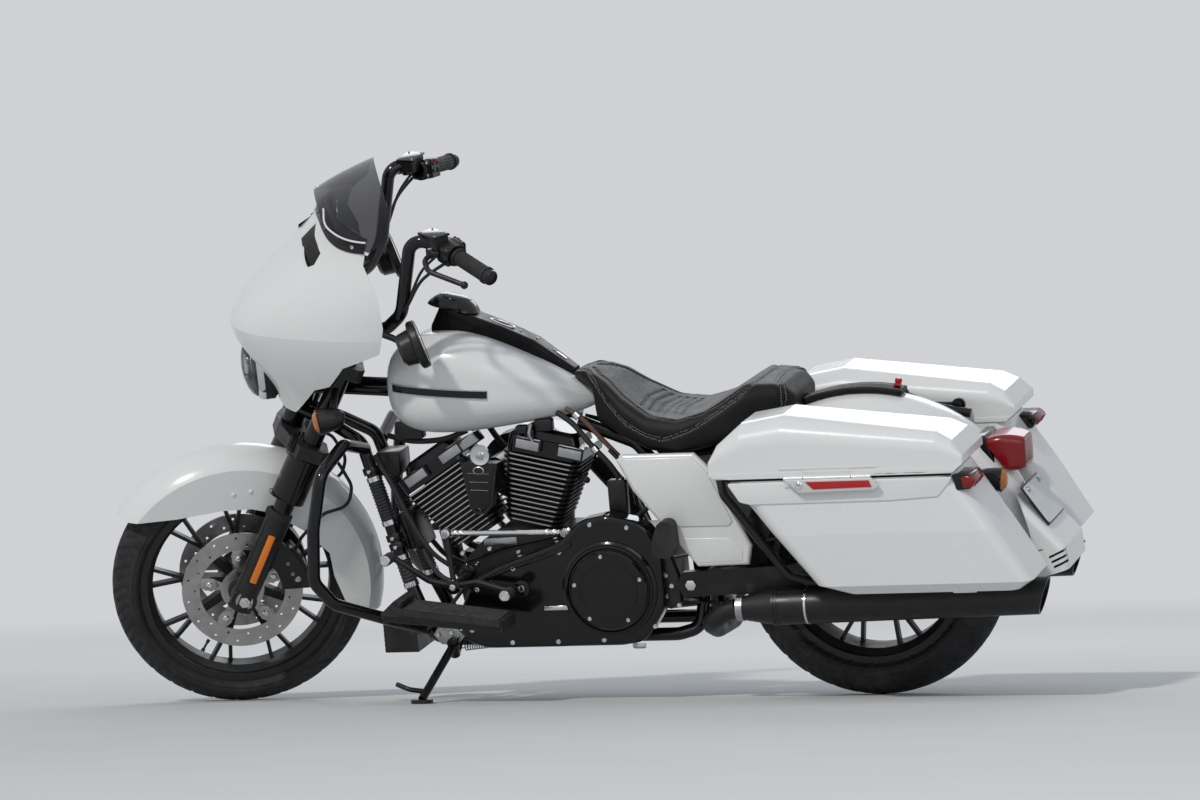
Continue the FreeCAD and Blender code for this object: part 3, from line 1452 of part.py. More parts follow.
# Side stand, swung down onto the floor
foot_floor = Vector(1085, num("stand_reach"), 0)
foot_bike = parked.inverse().multVec(foot_floor)
floor_up = parked.Rotation.inverted().multVec(Vector(0, 0, 1))
stand_root = Vector(1040, rail_y, rail_z)
stand_pivot = stand_root + Vector(0, 34, -9)
foot_thick = 9
ankle = foot_bike + floor_up * foot_thick
leg_down = ankle - stand_pivot
leg_back = Vector(-1, 0.10, -0.22).normalize() * leg_down.Length
stand_axis = leg_down.cross(leg_back).normalize()
stand_swing = math.degrees(leg_down.getAngle(leg_back))
pad_round = cylinder_on(foot_bike, floor_up, 27, foot_thick)
leg_bar = bar(stand_pivot, ankle + floor_up * 1, num("stand_tube_radius"))
eye = cylinder_on(stand_pivot - stand_axis * 10.5, stand_axis, 14.5, 21)
eye_bore = cylinder_on(stand_pivot - stand_axis * 40, stand_axis, 7 + gap, 80)
peg_out = tube([ankle - leg_down.normalize() * 26, ankle - leg_down.normalize() * 10 + Vector(34, 6, 20), Vector(1150, 262, 106)], 6, 20)
eye_sides = [cylinder_on(stand_pivot + stand_axis * side * 10.5, stand_axis * side, 19, 12) for side in (1, -1)]
stand = leg_bar.fuse([pad_round, eye, peg_out]).cut([eye_bore] + eye_sides)
add("side_stand", stand)

stand_pin = cylinder_on(stand_pivot - stand_axis * 14, stand_axis, 7, 29)
pin_head = cylinder_on(stand_pivot + stand_axis * 10.8, stand_axis, 12, 5)
collar = cylinder_on(stand_pivot - stand_axis * 18.5, stand_axis, 13, 7.7)
boss_foot = stand_pivot - stand_axis * 34
boss = bar(stand_pivot - stand_axis * 18, boss_foot, 13).fuse(bar(boss_foot, stand_root - Vector(6, 2, 0), 11.5))
stand_mount = collar.fuse(boss).fuse(stand_pin).fuse(pin_head)
frame = frame.fuse(stand_mount)
add("frame", frame)

# Tank, console and fuel door
tank_lift = num("tank_lift")
tank_half = num("tank_half_width")
# x, share of half width, bottom, top, corner radius
TANK_ROWS = [
    (1164, 0.60, 752, 862, 50),
    (1132, 0.82, 708, 906, 72),
    (1040, 1.00, 688, 936, 92),
    (940, 1.00, 692, 926, 92),
    (850, 0.88, 702, 890, 78),
    (760, 0.66, 714, 844, 54),
    (690, 0.44, 727, 800, 30),
    (650, 0.28, 742, 774, 12),
]
tank = loft([cross_section(x, tank_half * share, low + tank_lift, high + tank_lift, c) for x, share, low, high, c in TANK_ROWS])
tunnel = side_plate([(690, 600), (1300, 600), (1300, 840)] + ROOF[::-1], -30, 30)
tank = tank.cut(tunnel)

CONSOLE_ROWS = [
    (1056, 34, 930, 950, 8),
    (1030, 44, 924, 996, 16),
    (1004, 50, 920, 998, 20),
    (940, 50, 900, 964, 20),
    (880, 46, 880, 940, 18),
    (800, 40, 846, 901, 16),
    (706, 26, 790, 828, 10),
]
console = loft([cross_section(x, w, low, high, c) for x, w, low, high, c in CONSOLE_ROWS], True)
console = console.cut(tank)
door_front = Vector(1058, 0, 999)
door_back = Vector(952, 0, 972)
door_normal = Vector(-(door_back.z - door_front.z), 0, door_back.x - door_front.x).normalize() * -1
door_middle = (door_front + door_back) / 2
door_reach = (door_front - door_back).normalize()
lid_base = door_middle + door_normal * 1
ring_low = rounded_rectangle(lid_base, door_reach, Vector(0, 1, 0), num("door_length") / 2, num("door_width") / 2, 40)
ring_high = rounded_rectangle(lid_base + door_normal * (num("door_height") * 0.5), door_reach, Vector(0, 1, 0), num("door_length") / 2 - 10, num("door_width") / 2 - 9, 34)
ring_top = rounded_rectangle(lid_base + door_normal * num("door_height"), door_reach, Vector(0, 1, 0), num("door_length") / 2 - 36, num("door_width") / 2 - 32, 14)
fuel_door = loft([ring_low, ring_high, ring_top])
deck = side_plate([(lid_base.x + 300 * door_reach.x, lid_base.z + 300 * door_reach.z), (lid_base.x - 300 * door_reach.x, lid_base.z - 300 * door_reach.z), (lid_base.x - 300, 1200), (lid_base.x + 300, 1200)], -100, 100)
deck.translate(door_normal * -0.8)
console = console.cut(deck)
add("tank", tank)
add("console", console)
add("fuel_door", fuel_door)

# Seat and fender strap
SEAT_ROWS = [
    (704, 50, 813, 822, 4),
    (668, 86, 800, 831, 14),
    (644, 104, 786, 824, 16),
    (634, 110, 704, 820, 24),
    (606, 132, 694, 806, 30),
    (560, 162, 672, 768, 34),
    (492, 186, 643, 727, 34),
    (420, 192, 635.5, 718, 32),
    (352, 186, 645.5, 735, 34),
    (250, 166, 666, 794, 38),
    (170, 140, 709, 788, 30),
    (140, 104, 722, 756, 14),
]
seat = loft([cross_section(x, w, low, high, c) for x, w, low, high, c in SEAT_ROWS], True)
add("seat", seat.cut(tank))

rear_crown = 416
rear_half = num("rear_fender_half_width")
panel_wall = num("panel_wall")
REAR_SKIRT = [(420, 270), (330, 250), (230, 120), (150, 90), (-150, 70), (-290, 60), (-330, 40), (-372, -10)]
rear_fender = arch(rear_crown, rear_half, panel_wall, 260, 52, 34, 182, rear_axle)
keep = from_axle(rear_axle, REAR_SKIRT + [(-520, -10), (-520, 520), (420, 520)])
rear_fender = rear_fender.common(side_plate(keep, -200, 200))

TAIL_OUT = [(-318, 575), (-400, 470), (-489, 372), (-494, 318), (-384, 288), (-300, 400)]
TAIL_IN = [(-300, 575), (-390, 460), (-480, 366), (-486, 300), (-384, 270), (-200, 330)]


def round_tail(outline, half_width, radius):
    """The fender extension's prism with its rear corners rounded."""
    prism = side_plate(outline, -half_width, half_width)
    corners = [e for e in prism.Edges if e.BoundBox.YLength < 0.1 and e.BoundBox.XMax < -380 and e.BoundBox.ZMin > 299]
    return prism.makeFillet(radius, corners)


tail_outer = round_tail(TAIL_OUT, rear_half + 3, 20)
tail_inner = round_tail(TAIL_IN, rear_half, 16)
tail_piece = tail_outer.cut(tail_inner).cut(cylinder_on(rear_axle - Vector(0, 200, 0), Vector(0, 1, 0), rear_crown - 1, 400))
# three louvres round each rear corner, their front ends (x, z)
LOUVRES = [(-449, 345), (-454, 333), (-459, 321)]
for x, z in LOUVRES:
    slot = side_plate([(x, z), (x - 60, z + 26), (x - 60, z + 32), (x, z + 6)], rear_half - 16, rear_half + 8)
    tail_piece = tail_piece.cut([slot, mirrored(slot)])
rear_fender = rear_fender.fuse(tail_piece)
add("rear_fender", rear_fender)

strap = sector(rear_axle, rear_crown + 0.3, rear_crown + 15, 68, 104, -num("strap_half_width"), num("strap_half_width"))
add("fender_strap", strap.cut(seat))

lamp_block = loft([
    rounded_rectangle(Vector(-300, 0, 592), Vector(0, 1, 0), Vector(0, 0, 1), 62, 34, 14),
    rounded_rectangle(Vector(-350, 0, 590), Vector(0, 1, 0), Vector(0, 0, 1), 64, 44, 18),
    rounded_rectangle(Vector(-394, 0, 588), Vector(0, 1, 0), Vector(0, 0, 1), 50, 36, 18),
])
lamp_cut = cylinder_on(rear_axle - Vector(0, 200, 0), Vector(0, 1, 0), rear_crown + 0.3, 400)
tail_lamp = lamp_block.cut(lamp_cut)

rear_signal = turned([(along, radius * 0.88) for along, radius in SIGNAL_OUTLINE], Vector(-330, 152, 548), Vector(-1, 0, -0.1).normalize())
rear_stay = bar((-322, rear_half - 2, 500), (-340, 150, 548), 9)
rear_signal = rear_signal.fuse(rear_stay).cut(rear_fender)
rear_signal = max(rear_signal.Solids, key=lambda part: part.Volume)
add("rear_lamps", Part.makeCompound([tail_lamp, rear_signal, mirrored(rear_signal)]))

plate = Part.makeBox(4, 180, 104, Vector(0, -90, 0))
plate.rotate(Vector(), Vector(0, 1, 0), -14)
plate.translate(Vector(-432, 0, 410))
plate_stay = bar((-408, 0, 470), (-380, 0, 500), 12)
add("number_plate", plate.fuse(plate_stay).cut(lamp_cut).cut(tail_outer))

# Side covers
COVER_SIDE = [(571, 630), (553, 642), (378, 641), (335, 597), (252, 411), (262, 366), (388, 364), (442, 433), (535, 553)]
cover_y = num("side_cover_offset")
side_cover = side_plate(COVER_SIDE, cover_y - panel_wall - 10, cover_y)
face_edges = [e for e in side_cover.Edges if abs(e.BoundBox.YMin - cover_y) < 0.1 and abs(e.BoundBox.YMax - cover_y) < 0.1]
side_cover = side_cover.makeFillet(9, face_edges)
post = bar((470, 76, 560), (470, cover_y - 12, 560), 9)
add("side_covers", pair(side_cover.fuse(post).cut(cradle)))

# Saddlebags: open-topped shells with hinged lids
bag_in = num("bag_inner")
bag_out = num("bag_outer")
bag_wall = num("bag_wall")
seam = num("bag_seam")
# height, rear x, front x, outer face, corner radius
BAG_ROWS = [
    (num("bag_floor"), -430, -20, bag_out - 34, 26),
    (num("bag_floor") + 24, -466, 50, bag_out - 12, 34),
    (480, -392, 146, bag_out, 40),
    (seam, -304, 248, bag_out, 44),
]


def bag_ring(z, back, front, outer, corner, inset):
    centre = Vector((back + front) / 2, (bag_in + outer) / 2, z)
    return rounded_rectangle(centre, Vector(1, 0, 0), Vector(0, 1, 0), (front - back) / 2 - inset, (outer - bag_in) / 2 - inset, corner - inset)


bag_shell = loft([bag_ring(*row, 0) for row in BAG_ROWS], True)
inner_rows = [(row[0] + (bag_wall if i == 0 else 0), *row[1:]) for i, row in enumerate(BAG_ROWS)]
inner_rows[-1] = (seam + 1, *BAG_ROWS[-1][1:])
bag_space = loft([bag_ring(*row, bag_wall) for row in inner_rows], True)
bag = bag_shell.cut(bag_space)

# The lid hinge behind the outer latch plate: knuckles about one pin line, (first x, last x)
BAG_KNUCKLES = [(-108, -62), (54, 100)]
LID_KNUCKLES = [(-60, 52)]
hinge_y, hinge_z = bag_out + 7, seam - 1
knuckle_radius = 5


def knuckle(first, last, leaf_low, leaf_high, leaf_inner):
    """A hinge barrel on the pin line with the leaf that carries it."""
    barrel = bar((first, hinge_y, hinge_z), (last, hinge_y, hinge_z), knuckle_radius)
    leaf = Part.makeBox(last - first, hinge_y - leaf_inner, leaf_high - leaf_low, Vector(first, leaf_inner, leaf_low))
    return barrel.fuse(leaf)


for first, last in BAG_KNUCKLES:
    bag = bag.fuse(knuckle(first, last, hinge_z - 20, hinge_z - 1, bag_out - 4))

lid_start = seam + num("lid_gap")
# x, bottom, top, corner radius
LID_ROWS = [
    (-326, 640, 660, 8),
    (-300, lid_start, 692, 30),
    (-262, lid_start, 712, 40),
    (104, lid_start, 760, 60),
    (204, lid_start, 744, 56),
    (262, lid_start, 696, 32),
    (280, 628, 662, 10),
]


def lid_ring(x, low, high, corner, inset):
    w = (bag_out - bag_in) / 2 + 3 - inset
    centre = Vector(x, (bag_in + bag_out) / 2 + 3, 0)
    top, bottom, c = high - inset, low, corner - inset * 0.5
    y0, y1 = centre.y - w, centre.y + w
    d = c * (1 - math.sqrt(0.5))
    return Part.Wire([
        Part.LineSegment(Vector(x, y0, bottom), Vector(x, y1, bottom)).toShape(),
        Part.LineSegment(Vector(x, y1, bottom), Vector(x, y1, top - c)).toShape(),
        Part.Arc(Vector(x, y1, top - c), Vector(x, y1 - d, top - d), Vector(x, y1 - c, top)).toShape(),
        Part.LineSegment(Vector(x, y1 - c, top), Vector(x, y0 + c, top)).toShape(),
        Part.Arc(Vector(x, y0 + c, top), Vector(x, y0 + d, top - d), Vector(x, y0, top - c)).toShape(),
        Part.LineSegment(Vector(x, y0, top - c), Vector(x, y0, bottom)).toShape(),
    ])


lid_outer = loft([lid_ring(*row, 0) for row in LID_ROWS], True)
inset_rows = [(max(-300, min(256, row[0])), lid_start - 6, row[2], row[3]) for row in LID_ROWS[1:-1]]
inset_rows[0] = (-288, lid_start - 6, 690, 30)
inset_rows[-1] = (250, lid_start - 6, 694, 32)
lid_space = loft([lid_ring(*row, bag_wall) for row in inset_rows], True)
lid = lid_outer.cut(lid_space)
lid = lid.cut([bar((first - 1, hinge_y, hinge_z), (last + 1, hinge_y, hinge_z), knuckle_radius + 1.5) for first, last in BAG_KNUCKLES])
for first, last in LID_KNUCKLES:
    lid = lid.fuse(knuckle(first, last, hinge_z + 1, hinge_z + 22, bag_out + 2))

for side, name in ((1, "left"), (-1, "right")):
    flip = (lambda shape: shape) if side > 0 else mirrored
    add(name + "_saddlebag", flip(bag))
    add(name + "_bag_lid", flip(lid))

dock_side = bag_in - 9.3
dock_front = tube([(-59, 134, 690), (-44, 164, 640), (-24, dock_side, 590), (-20, dock_side, 500)], 9, 26)
dock_rear = tube([(-196, 134, 664), (-200, 164, 620), (-200, dock_side, 580), (-200, dock_side, 500)], 9, 26)
guard_low = muffler_z + 14 * (muffler_front - 60) / muffler_length + muffler_radius + 0.3
rail = tube([(336, 145, 626), (322, 200, 622), (300, 236, 545), (156, 240, 346), (104, 226, 326), (60, muffler_y, 324), (60, muffler_y, guard_low)], 11, 30)
dock_pins = [bar((-59, 145.4, 703), (-59, 168, 703), 12.5), bar((-196, 145.4, 672), (-196, 168, 672), 12.5)]
supports = [dock_front, dock_rear, rail.cut(arm_plate)] + dock_pins
rail_space = tube([(506, 62, 586), (430, 96, 622), (300, 134, 640), (120, 134, 660), (-59, 134, 690), (-232, 134, 655)], 11.5, 60)
supports = [part.cut(rail_space) for part in supports]
add("bag_supports", pair(supports[0].fuse(supports[1:])))

doc.recompute()

# The origin is the middle of the parked bike's bounding box, on the floor
boxes = [obj.Shape.optimalBoundingBox(False, False) for obj in pieces.values()]
middle_x = (min(b.XMin for b in boxes) + max(b.XMax for b in boxes)) / 2
middle_y = (min(b.YMin for b in boxes) + max(b.YMax for b in boxes)) / 2
lowest = min(b.ZMin for b in boxes)
centring = Placement(Vector(-middle_x, -middle_y, -lowest), Rotation())
for obj in pieces.values():
    obj.Placement = centring.multiply(obj.Placement)
doc.recompute()

for obj in doc.Objects:
    if "Invalid" in obj.State or "Error" in obj.State:
        raise RuntimeError(f"{obj.Label} failed to build: {obj.State}")
for name, obj in pieces.items():
    if obj.Shape.isNull() or not obj.Shape.isValid() or not obj.Shape.Solids:
        raise RuntimeError(f"{name} is not a sound solid")

# Joints and interfaces: a point on each axis and its direction, in the parked bike's frame
PLACES = [
    ("steering", parked, lower_yoke, steer_axis),
    ("front_wheel_spin", parked_steered, front_axle, Vector(0, 1, 0)),
    ("rear_wheel_spin", parked, rear_axle, Vector(0, 1, 0)),
    ("side_stand", parked, stand_pivot, stand_axis),
    ("left_lid", parked, Vector(0, hinge_y, hinge_z), Vector(-1, 0, 0)),
    ("right_lid", parked, Vector(0, -hinge_y, hinge_z), Vector(1, 0, 0)),
    ("fuel_door", parked, door_middle + door_reach * (num("door_length") / 2), Vector(0, 1, 0)),
    ("stand_foot", parked, foot_bike, -floor_up),
    ("front_dock_left", parked, Vector(-59, 157, 703), Vector(0, 1, 0)),
    ("front_dock_right", parked, Vector(-59, -157, 703), Vector(0, -1, 0)),
    ("rear_dock_left", parked, Vector(-196, 157, 672), Vector(0, 1, 0)),
    ("rear_dock_right", parked, Vector(-196, -157, 672), Vector(0, -1, 0)),
    ("bike_zero", parked, Vector(), Vector(1, 0, 0)),
    ("bike_up", parked, Vector(), Vector(0, 0, 1)),
    ("fork_zero", parked_steered, Vector(), Vector(1, 0, 0)),
    ("fork_up", parked_steered, Vector(), Vector(0, 0, 1)),
]
for name, place, point, direction in PLACES:
    spot = centring.multVec(place.multVec(point))
    way = place.Rotation.multVec(direction)
    print("place", name, *(round(v, 5) for v in (*spot, *way)))

for name, obj in pieces.items():
    obj.Shape.exportStep(f"parts/{name}.step")
print("pieces", len(pieces))
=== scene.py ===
"""Looks for the parked touring cruiser motorcycle: finishes, lights, camera and the small fittings."""
import bpy
import bmesh
import json
import math
from mathutils import Matrix, Vector
from mathutils.bvhtree import BVHTree
from mathutils.kdtree import KDTree

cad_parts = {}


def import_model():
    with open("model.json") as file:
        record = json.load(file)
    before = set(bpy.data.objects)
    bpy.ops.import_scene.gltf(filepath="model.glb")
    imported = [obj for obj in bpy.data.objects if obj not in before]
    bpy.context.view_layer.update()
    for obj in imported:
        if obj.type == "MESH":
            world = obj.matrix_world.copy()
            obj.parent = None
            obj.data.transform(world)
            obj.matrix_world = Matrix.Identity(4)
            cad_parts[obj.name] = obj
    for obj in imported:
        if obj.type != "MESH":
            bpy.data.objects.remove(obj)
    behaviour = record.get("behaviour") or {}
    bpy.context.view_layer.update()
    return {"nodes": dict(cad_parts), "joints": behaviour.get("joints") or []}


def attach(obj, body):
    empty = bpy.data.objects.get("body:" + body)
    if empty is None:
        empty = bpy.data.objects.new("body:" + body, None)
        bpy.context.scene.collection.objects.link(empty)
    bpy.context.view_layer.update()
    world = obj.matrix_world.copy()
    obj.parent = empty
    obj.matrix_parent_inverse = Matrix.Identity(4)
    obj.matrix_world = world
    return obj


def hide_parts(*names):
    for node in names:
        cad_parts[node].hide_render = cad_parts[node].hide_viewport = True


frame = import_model()
nodes = frame["nodes"]
joints = {joint["name"]: joint for joint in frame["joints"]}

# The upright bike's own axes, in millimetres, as the CAD draws it: X forward, Y left, Z up from the
# floor under the rear axle. The frame gives the rear axle and the steering axis as parked.
MM = 0.001
X, Y, Z = Vector((1, 0, 0)), Vector((0, 1, 0)), Vector((0, 0, 1))
FRONT_RADIUS, REAR_RADIUS = 319.3, 327.6
FRONT_AXLE = Vector((1625, 0, FRONT_RADIUS))
REAR_AXLE = Vector((0, 0, REAR_RADIUS))
PITCH = math.radians(0.4687)
STEERED = math.radians(24)


def bike_matrix():
    left = Vector(joints["rear_wheel_spin"]["axis"]).normalized()
    forward = Vector((math.cos(PITCH), 0, -math.sin(PITCH)))
    up = forward.cross(left).normalized()
    forward = left.cross(up).normalized()
    zero = Vector(joints["rear_wheel_spin"]["pos_m"]) - up * REAR_AXLE.z * MM
    turn = Matrix((forward, left, up)).transposed().to_4x4()
    return Matrix.Translation(zero) @ turn @ Matrix.Scale(MM, 4)


def fork_matrix():
    """The bike's axes turned with the fork, so that what rides on it is drawn straight ahead."""
    pivot = Vector(joints["steering"]["pos_m"])
    axis = Vector(joints["steering"]["axis"]).normalized()
    return Matrix.Translation(pivot) @ Matrix.Rotation(STEERED, 4, axis) @ Matrix.Translation(-pivot) @ BIKE


BIKE = bike_matrix()
FORK = fork_matrix()
SPACES = {"fork": FORK, "front_wheel": FORK}


# Materials

class Finish:
    """A material being wired: it keeps the node tree and the Principled shader at hand."""

    def __init__(self, name, colour, roughness, metallic=0.0, **sockets):
        self.material = bpy.data.materials.new(name)
        self.material.use_nodes = True
        self.material.diffuse_color = (*colour, 1)
        self.tree = self.material.node_tree
        self.shader = self.tree.nodes["Principled BSDF"]
        self.set(self.shader, Base_Color=(*colour, 1), Roughness=roughness, Metallic=metallic, **sockets)

    @staticmethod
    def set(node, **sockets):
        for name, value in sockets.items():
            node.inputs[name.replace("_", " ")].default_value = value

    def node(self, kind, **settings):
        node = self.tree.nodes.new(kind)
        for name, value in settings.items():
            setattr(node, name, value)
        return node

    def link(self, output, target):
        self.tree.links.new(output, target)

    def place(self, space=None):
        """Object coordinates, in millimetres of the given space."""
        mapping = self.node("ShaderNodeMapping")
        back = (space or BIKE).inverted()
        self.set(mapping, Scale=back.to_scale(), Rotation=back.to_euler(), Location=back.to_translation())
        self.link(self.node("ShaderNodeTexCoord").outputs["Object"], mapping.inputs["Vector"])
        return mapping.outputs["Vector"]

    def noise(self, where, scale, detail=3.0, roughness=0.5):
        noise = self.node("ShaderNodeTexNoise")
        self.set(noise, Scale=scale, Detail=detail, Roughness=roughness)
        self.link(where, noise.inputs["Vector"])
        return noise.outputs["Fac"]

    def cells(self, where, scale):
        cells = self.node("ShaderNodeTexVoronoi", feature="DISTANCE_TO_EDGE")
        self.set(cells, Scale=scale)
        self.link(where, cells.inputs["Vector"])
        return cells.outputs["Distance"]

    def ramp(self, value, low, high, start=0.0, end=1.0):
        """Maps start..end of the value to low..high."""
        ramp = self.node("ShaderNodeMapRange")
        self.set(ramp, From_Min=start, From_Max=end, To_Min=low, To_Max=high)
        self.link(value, ramp.inputs["Value"])
        return ramp.outputs["Result"]

    def tint(self, value, low, high, start=0.0, end=1.0):
        """A colour between low and high as the value goes from start to end."""
        ramp = self.node("ShaderNodeValToRGB")
        for element, position, colour in zip(ramp.color_ramp.elements, (start, end), (low, high)):
            element.position = position
            element.color = (*colour, 1)
        self.link(value, ramp.inputs["Fac"])
        return ramp.outputs["Color"]

    def arith(self, operation, *values):
        node = self.node("ShaderNodeMath", operation=operation)
        for socket, value in zip(node.inputs, values):
            if isinstance(value, (int, float)):
                socket.default_value = value
            else:
                self.link(value, socket)
        return node.outputs["Value"]

    def bump(self, height, distance, strength=1.0):
        bump = self.node("ShaderNodeBump")
        self.set(bump, Strength=strength, Distance=distance)
        self.link(height, bump.inputs["Height"])
        previous = self.shader.inputs["Normal"]
        if previous.is_linked:
            self.link(previous.links[0].from_socket, bump.inputs["Normal"])
        self.link(bump.outputs["Normal"], previous)

    def colour(self, socket):
        self.link(socket, self.shader.inputs["Base Color"])

    def rough(self, socket):
        self.link(socket, self.shader.inputs["Roughness"])

    def gloss(self, where, scale, detail, low, high):
        """Roughness that wanders between low and high."""
        self.rough(self.ramp(self.noise(where, scale, detail), low, min(1.0, high), 0.3, 0.7))


ROAD_DUST = (0.45, 0.41, 0.36)


def paint(name, colour, roughness, coat, dirt):
    """Sprayed paint: faint orange peel, uneven gloss and, by the share of dirt, road dust low down."""
    finish = Finish(name, colour, roughness, Coat_Weight=coat, Coat_Roughness=0.12, Specular_IOR_Level=0.36)
    where = finish.place()
    finish.bump(finish.noise(where, 0.35, 2), 0.00012, 0.35)
    finish.gloss(where, 0.012, 4, roughness * 0.85, roughness * 1.2)
    height = finish.node("ShaderNodeSeparateXYZ")
    finish.link(where, height.inputs["Vector"])
    low = finish.ramp(height.outputs["Z"], 1.0, 0.0, 150, 620)
    specks = finish.ramp(finish.noise(where, 0.09, 6, 0.7), 0.0, dirt, 0.55, 0.8)
    mix = finish.node("ShaderNodeMix", data_type="RGBA")
    finish.link(finish.arith("MULTIPLY", low, specks), mix.inputs["Factor"])
    mix.inputs["A"].default_value = (*colour, 1)
    mix.inputs["B"].default_value = (*[(c + d) / 2 for c, d in zip(colour, ROAD_DUST)], 1)
    finish.colour(mix.outputs["Result"])
    return finish.material


def enamel(name, colour, roughness, grain=0.0, shine=0.42):
    """Black powder coat or moulded plastic, with grain height in millimetres and a trace of dust."""
    finish = Finish(name, colour, roughness, Specular_IOR_Level=shine)
    where = finish.place()
    finish.gloss(where, 0.02, 5, roughness * 0.8, roughness * 1.3)
    if grain:
        finish.bump(finish.noise(where, 1.1, 2), grain * MM, 0.6)
    dusty = tuple(c + (d - c) * 0.03 for c, d in zip(colour, (0.30, 0.27, 0.24)))
    finish.colour(finish.tint(finish.noise(where, 0.035, 6, 0.65), colour, dusty, 0.42, 0.75))
    return finish.material


def metal(name, colour, roughness, brushed=0.0):
    """Bare or plated metal; brushed gives the depth of fine turning marks in millimetres."""
    finish = Finish(name, colour, roughness, 1.0)
    where = finish.place()
    finish.gloss(where, 0.05, 5, roughness * 0.7, roughness * 1.5)
    if brushed:
        finish.bump(finish.noise(where, 1.6, 4), brushed * MM, 0.5)
    dark = tuple(c * 0.8 for c in colour)
    finish.colour(finish.tint(finish.noise(where, 0.03, 5, 0.6), dark, colour, 0.3, 0.6))
    return finish.material


def rubber(name, colour=(0.012, 0.012, 0.0125), roughness=0.72):
    finish = Finish(name, colour, roughness, Specular_IOR_Level=0.35)
    where = finish.place()
    finish.bump(finish.noise(where, 0.9, 3), 0.00025, 0.6)
    dusty = tuple(c * 2.2 + 0.006 for c in colour)
    finish.colour(finish.tint(finish.noise(where, 0.02, 6, 0.7), colour, dusty, 0.4, 0.8))
    finish.gloss(where, 0.06, 4, roughness * 0.8, roughness * 1.15)
    return finish.material


# The V engine: its crankshaft, and each barrel's lean from upright in degrees, its side and its pushrods' foot
CRANK = Vector((878, 0, 268))
BARRELS = ((31.5, 1, 26), (-13.5, -1, -70))
BARREL_FOOT, BARREL_TOP, FIN_PITCH, FIN_REACH = 192, 366, 12.43, 88


def finned(name):
    """Black wrinkle finish with the fins' outer edges machined bright."""
    black = (0.010, 0.010, 0.0105)
    finish = Finish(name, black, 0.5, Specular_IOR_Level=0.42)
    axes = finish.node("ShaderNodeSeparateXYZ")
    finish.link(finish.place(), axes.inputs["Vector"])
    arith = finish.arith

    def along(lean):
        """How far up a barrel of this lean from the crank the point lies."""
        lean = math.radians(lean)
        x = arith("MULTIPLY", arith("SUBTRACT", axes.outputs["X"], CRANK.x), math.sin(lean))
        z = arith("MULTIPLY", arith("SUBTRACT", axes.outputs["Z"], CRANK.z), math.cos(lean))
        return arith("ADD", x, z)

    ahead = arith("GREATER_THAN", along(99), 0)
    front, rear = along(BARRELS[0][0]), along(BARRELS[1][0])
    rise = arith("ADD", rear, arith("MULTIPLY", ahead, arith("SUBTRACT", front, rear)))
    limit = finish.ramp(rise, FIN_REACH * 0.86, FIN_REACH, BARREL_FOOT, BARREL_TOP)
    edge = arith("SUBTRACT", arith("ABSOLUTE", axes.outputs["Y"]), limit)
    pitch = arith("FRACT", arith("DIVIDE", arith("SUBTRACT", rise, BARREL_FOOT), FIN_PITCH))
    middle = arith("ABSOLUTE", arith("SUBTRACT", pitch, 0.5))
    bright = arith("MULTIPLY", arith("GREATER_THAN", edge, -1.1), arith("LESS_THAN", middle, 0.11))
    finish.link(arith("MULTIPLY", bright, 0.95), finish.shader.inputs["Metallic"])
    finish.rough(finish.ramp(bright, 0.5, 0.3))
    finish.colour(finish.tint(bright, black, (0.5, 0.49, 0.47)))
    return finish.material


def leather(name):
    """Black grained hide: pebbles, fine creases and a soft sheen."""
    colour = (0.0065, 0.0062, 0.006)
    finish = Finish(name, colour, 0.36, Specular_IOR_Level=0.2)
    where = finish.place()
    finish.bump(finish.ramp(finish.cells(where, 0.42), 0.0, 1.0, 0.0, 0.22), 0.00035, 0.45)
    finish.bump(finish.noise(where, 0.05, 6, 0.7), 0.0007, 0.15)
    finish.gloss(where, 0.03, 5, 0.42, 0.5)
    worn = tuple(c * 1.7 + 0.002 for c in colour)
    finish.colour(finish.tint(finish.noise(where, 0.015, 5), colour, worn, 0.4, 0.75))
    return finish.material


def lens(name, colour, roughness, transmission):
    finish = Finish(name, colour, roughness, Transmission_Weight=transmission, IOR=1.45, Coat_Weight=0.15)
    finish.bump(finish.noise(finish.place(), 0.12, 2), 0.0001, 0.3)
    return finish.material


WHITE = paint("white_satin_paint", (0.76, 0.757, 0.745), 0.24, 0.45, 0.5)
BLACK_GLOSS = paint("black_gloss_paint", (0.0035, 0.0035, 0.004), 0.12, 0.15, 0.06)
DECK_BLACK = enamel("console_black_paint", (0.004, 0.004, 0.0045), 0.34, shine=0.12)
BLACK_SATIN = enamel("black_satin_enamel", (0.006, 0.006, 0.0065), 0.34)
FINNED = finned("machined_fins")
WRINKLE = enamel("black_wrinkle_finish", (0.010, 0.010, 0.0105), 0.5, 0.25)
CAST = enamel("black_cast_alloy", (0.010, 0.010, 0.0105), 0.42, 0.12)
EXHAUST = enamel("black_exhaust_coat", (0.007, 0.007, 0.0075), 0.36, 0.05)
PLASTIC = enamel("black_moulded_plastic", (0.009, 0.009, 0.0095), 0.5, 0.18)
CHROME = metal("chrome_plate", (0.78, 0.78, 0.79), 0.07)
STEEL = metal("brushed_steel", (0.50, 0.50, 0.51), 0.32, 0.04)
ALLOY = metal("machined_alloy", (0.46, 0.46, 0.47), 0.3, 0.02)
ZINC = metal("zinc_plated_steel", (0.42, 0.42, 0.42), 0.38, 0.03)
DISC = metal("disc_steel", (0.46, 0.45, 0.44), 0.36, 0.06)
TYRE = rubber("tyre_rubber")
RUBBER = rubber("moulded_rubber", (0.014, 0.014, 0.014), 0.6)
LEATHER = leather("black_leather")
THREAD = enamel("grey_thread", (0.22, 0.22, 0.215), 0.7)
SMOKED = Finish("smoked_screen", (0.13, 0.13, 0.14), 0.04, Transmission_Weight=0.88, IOR=1.2).material
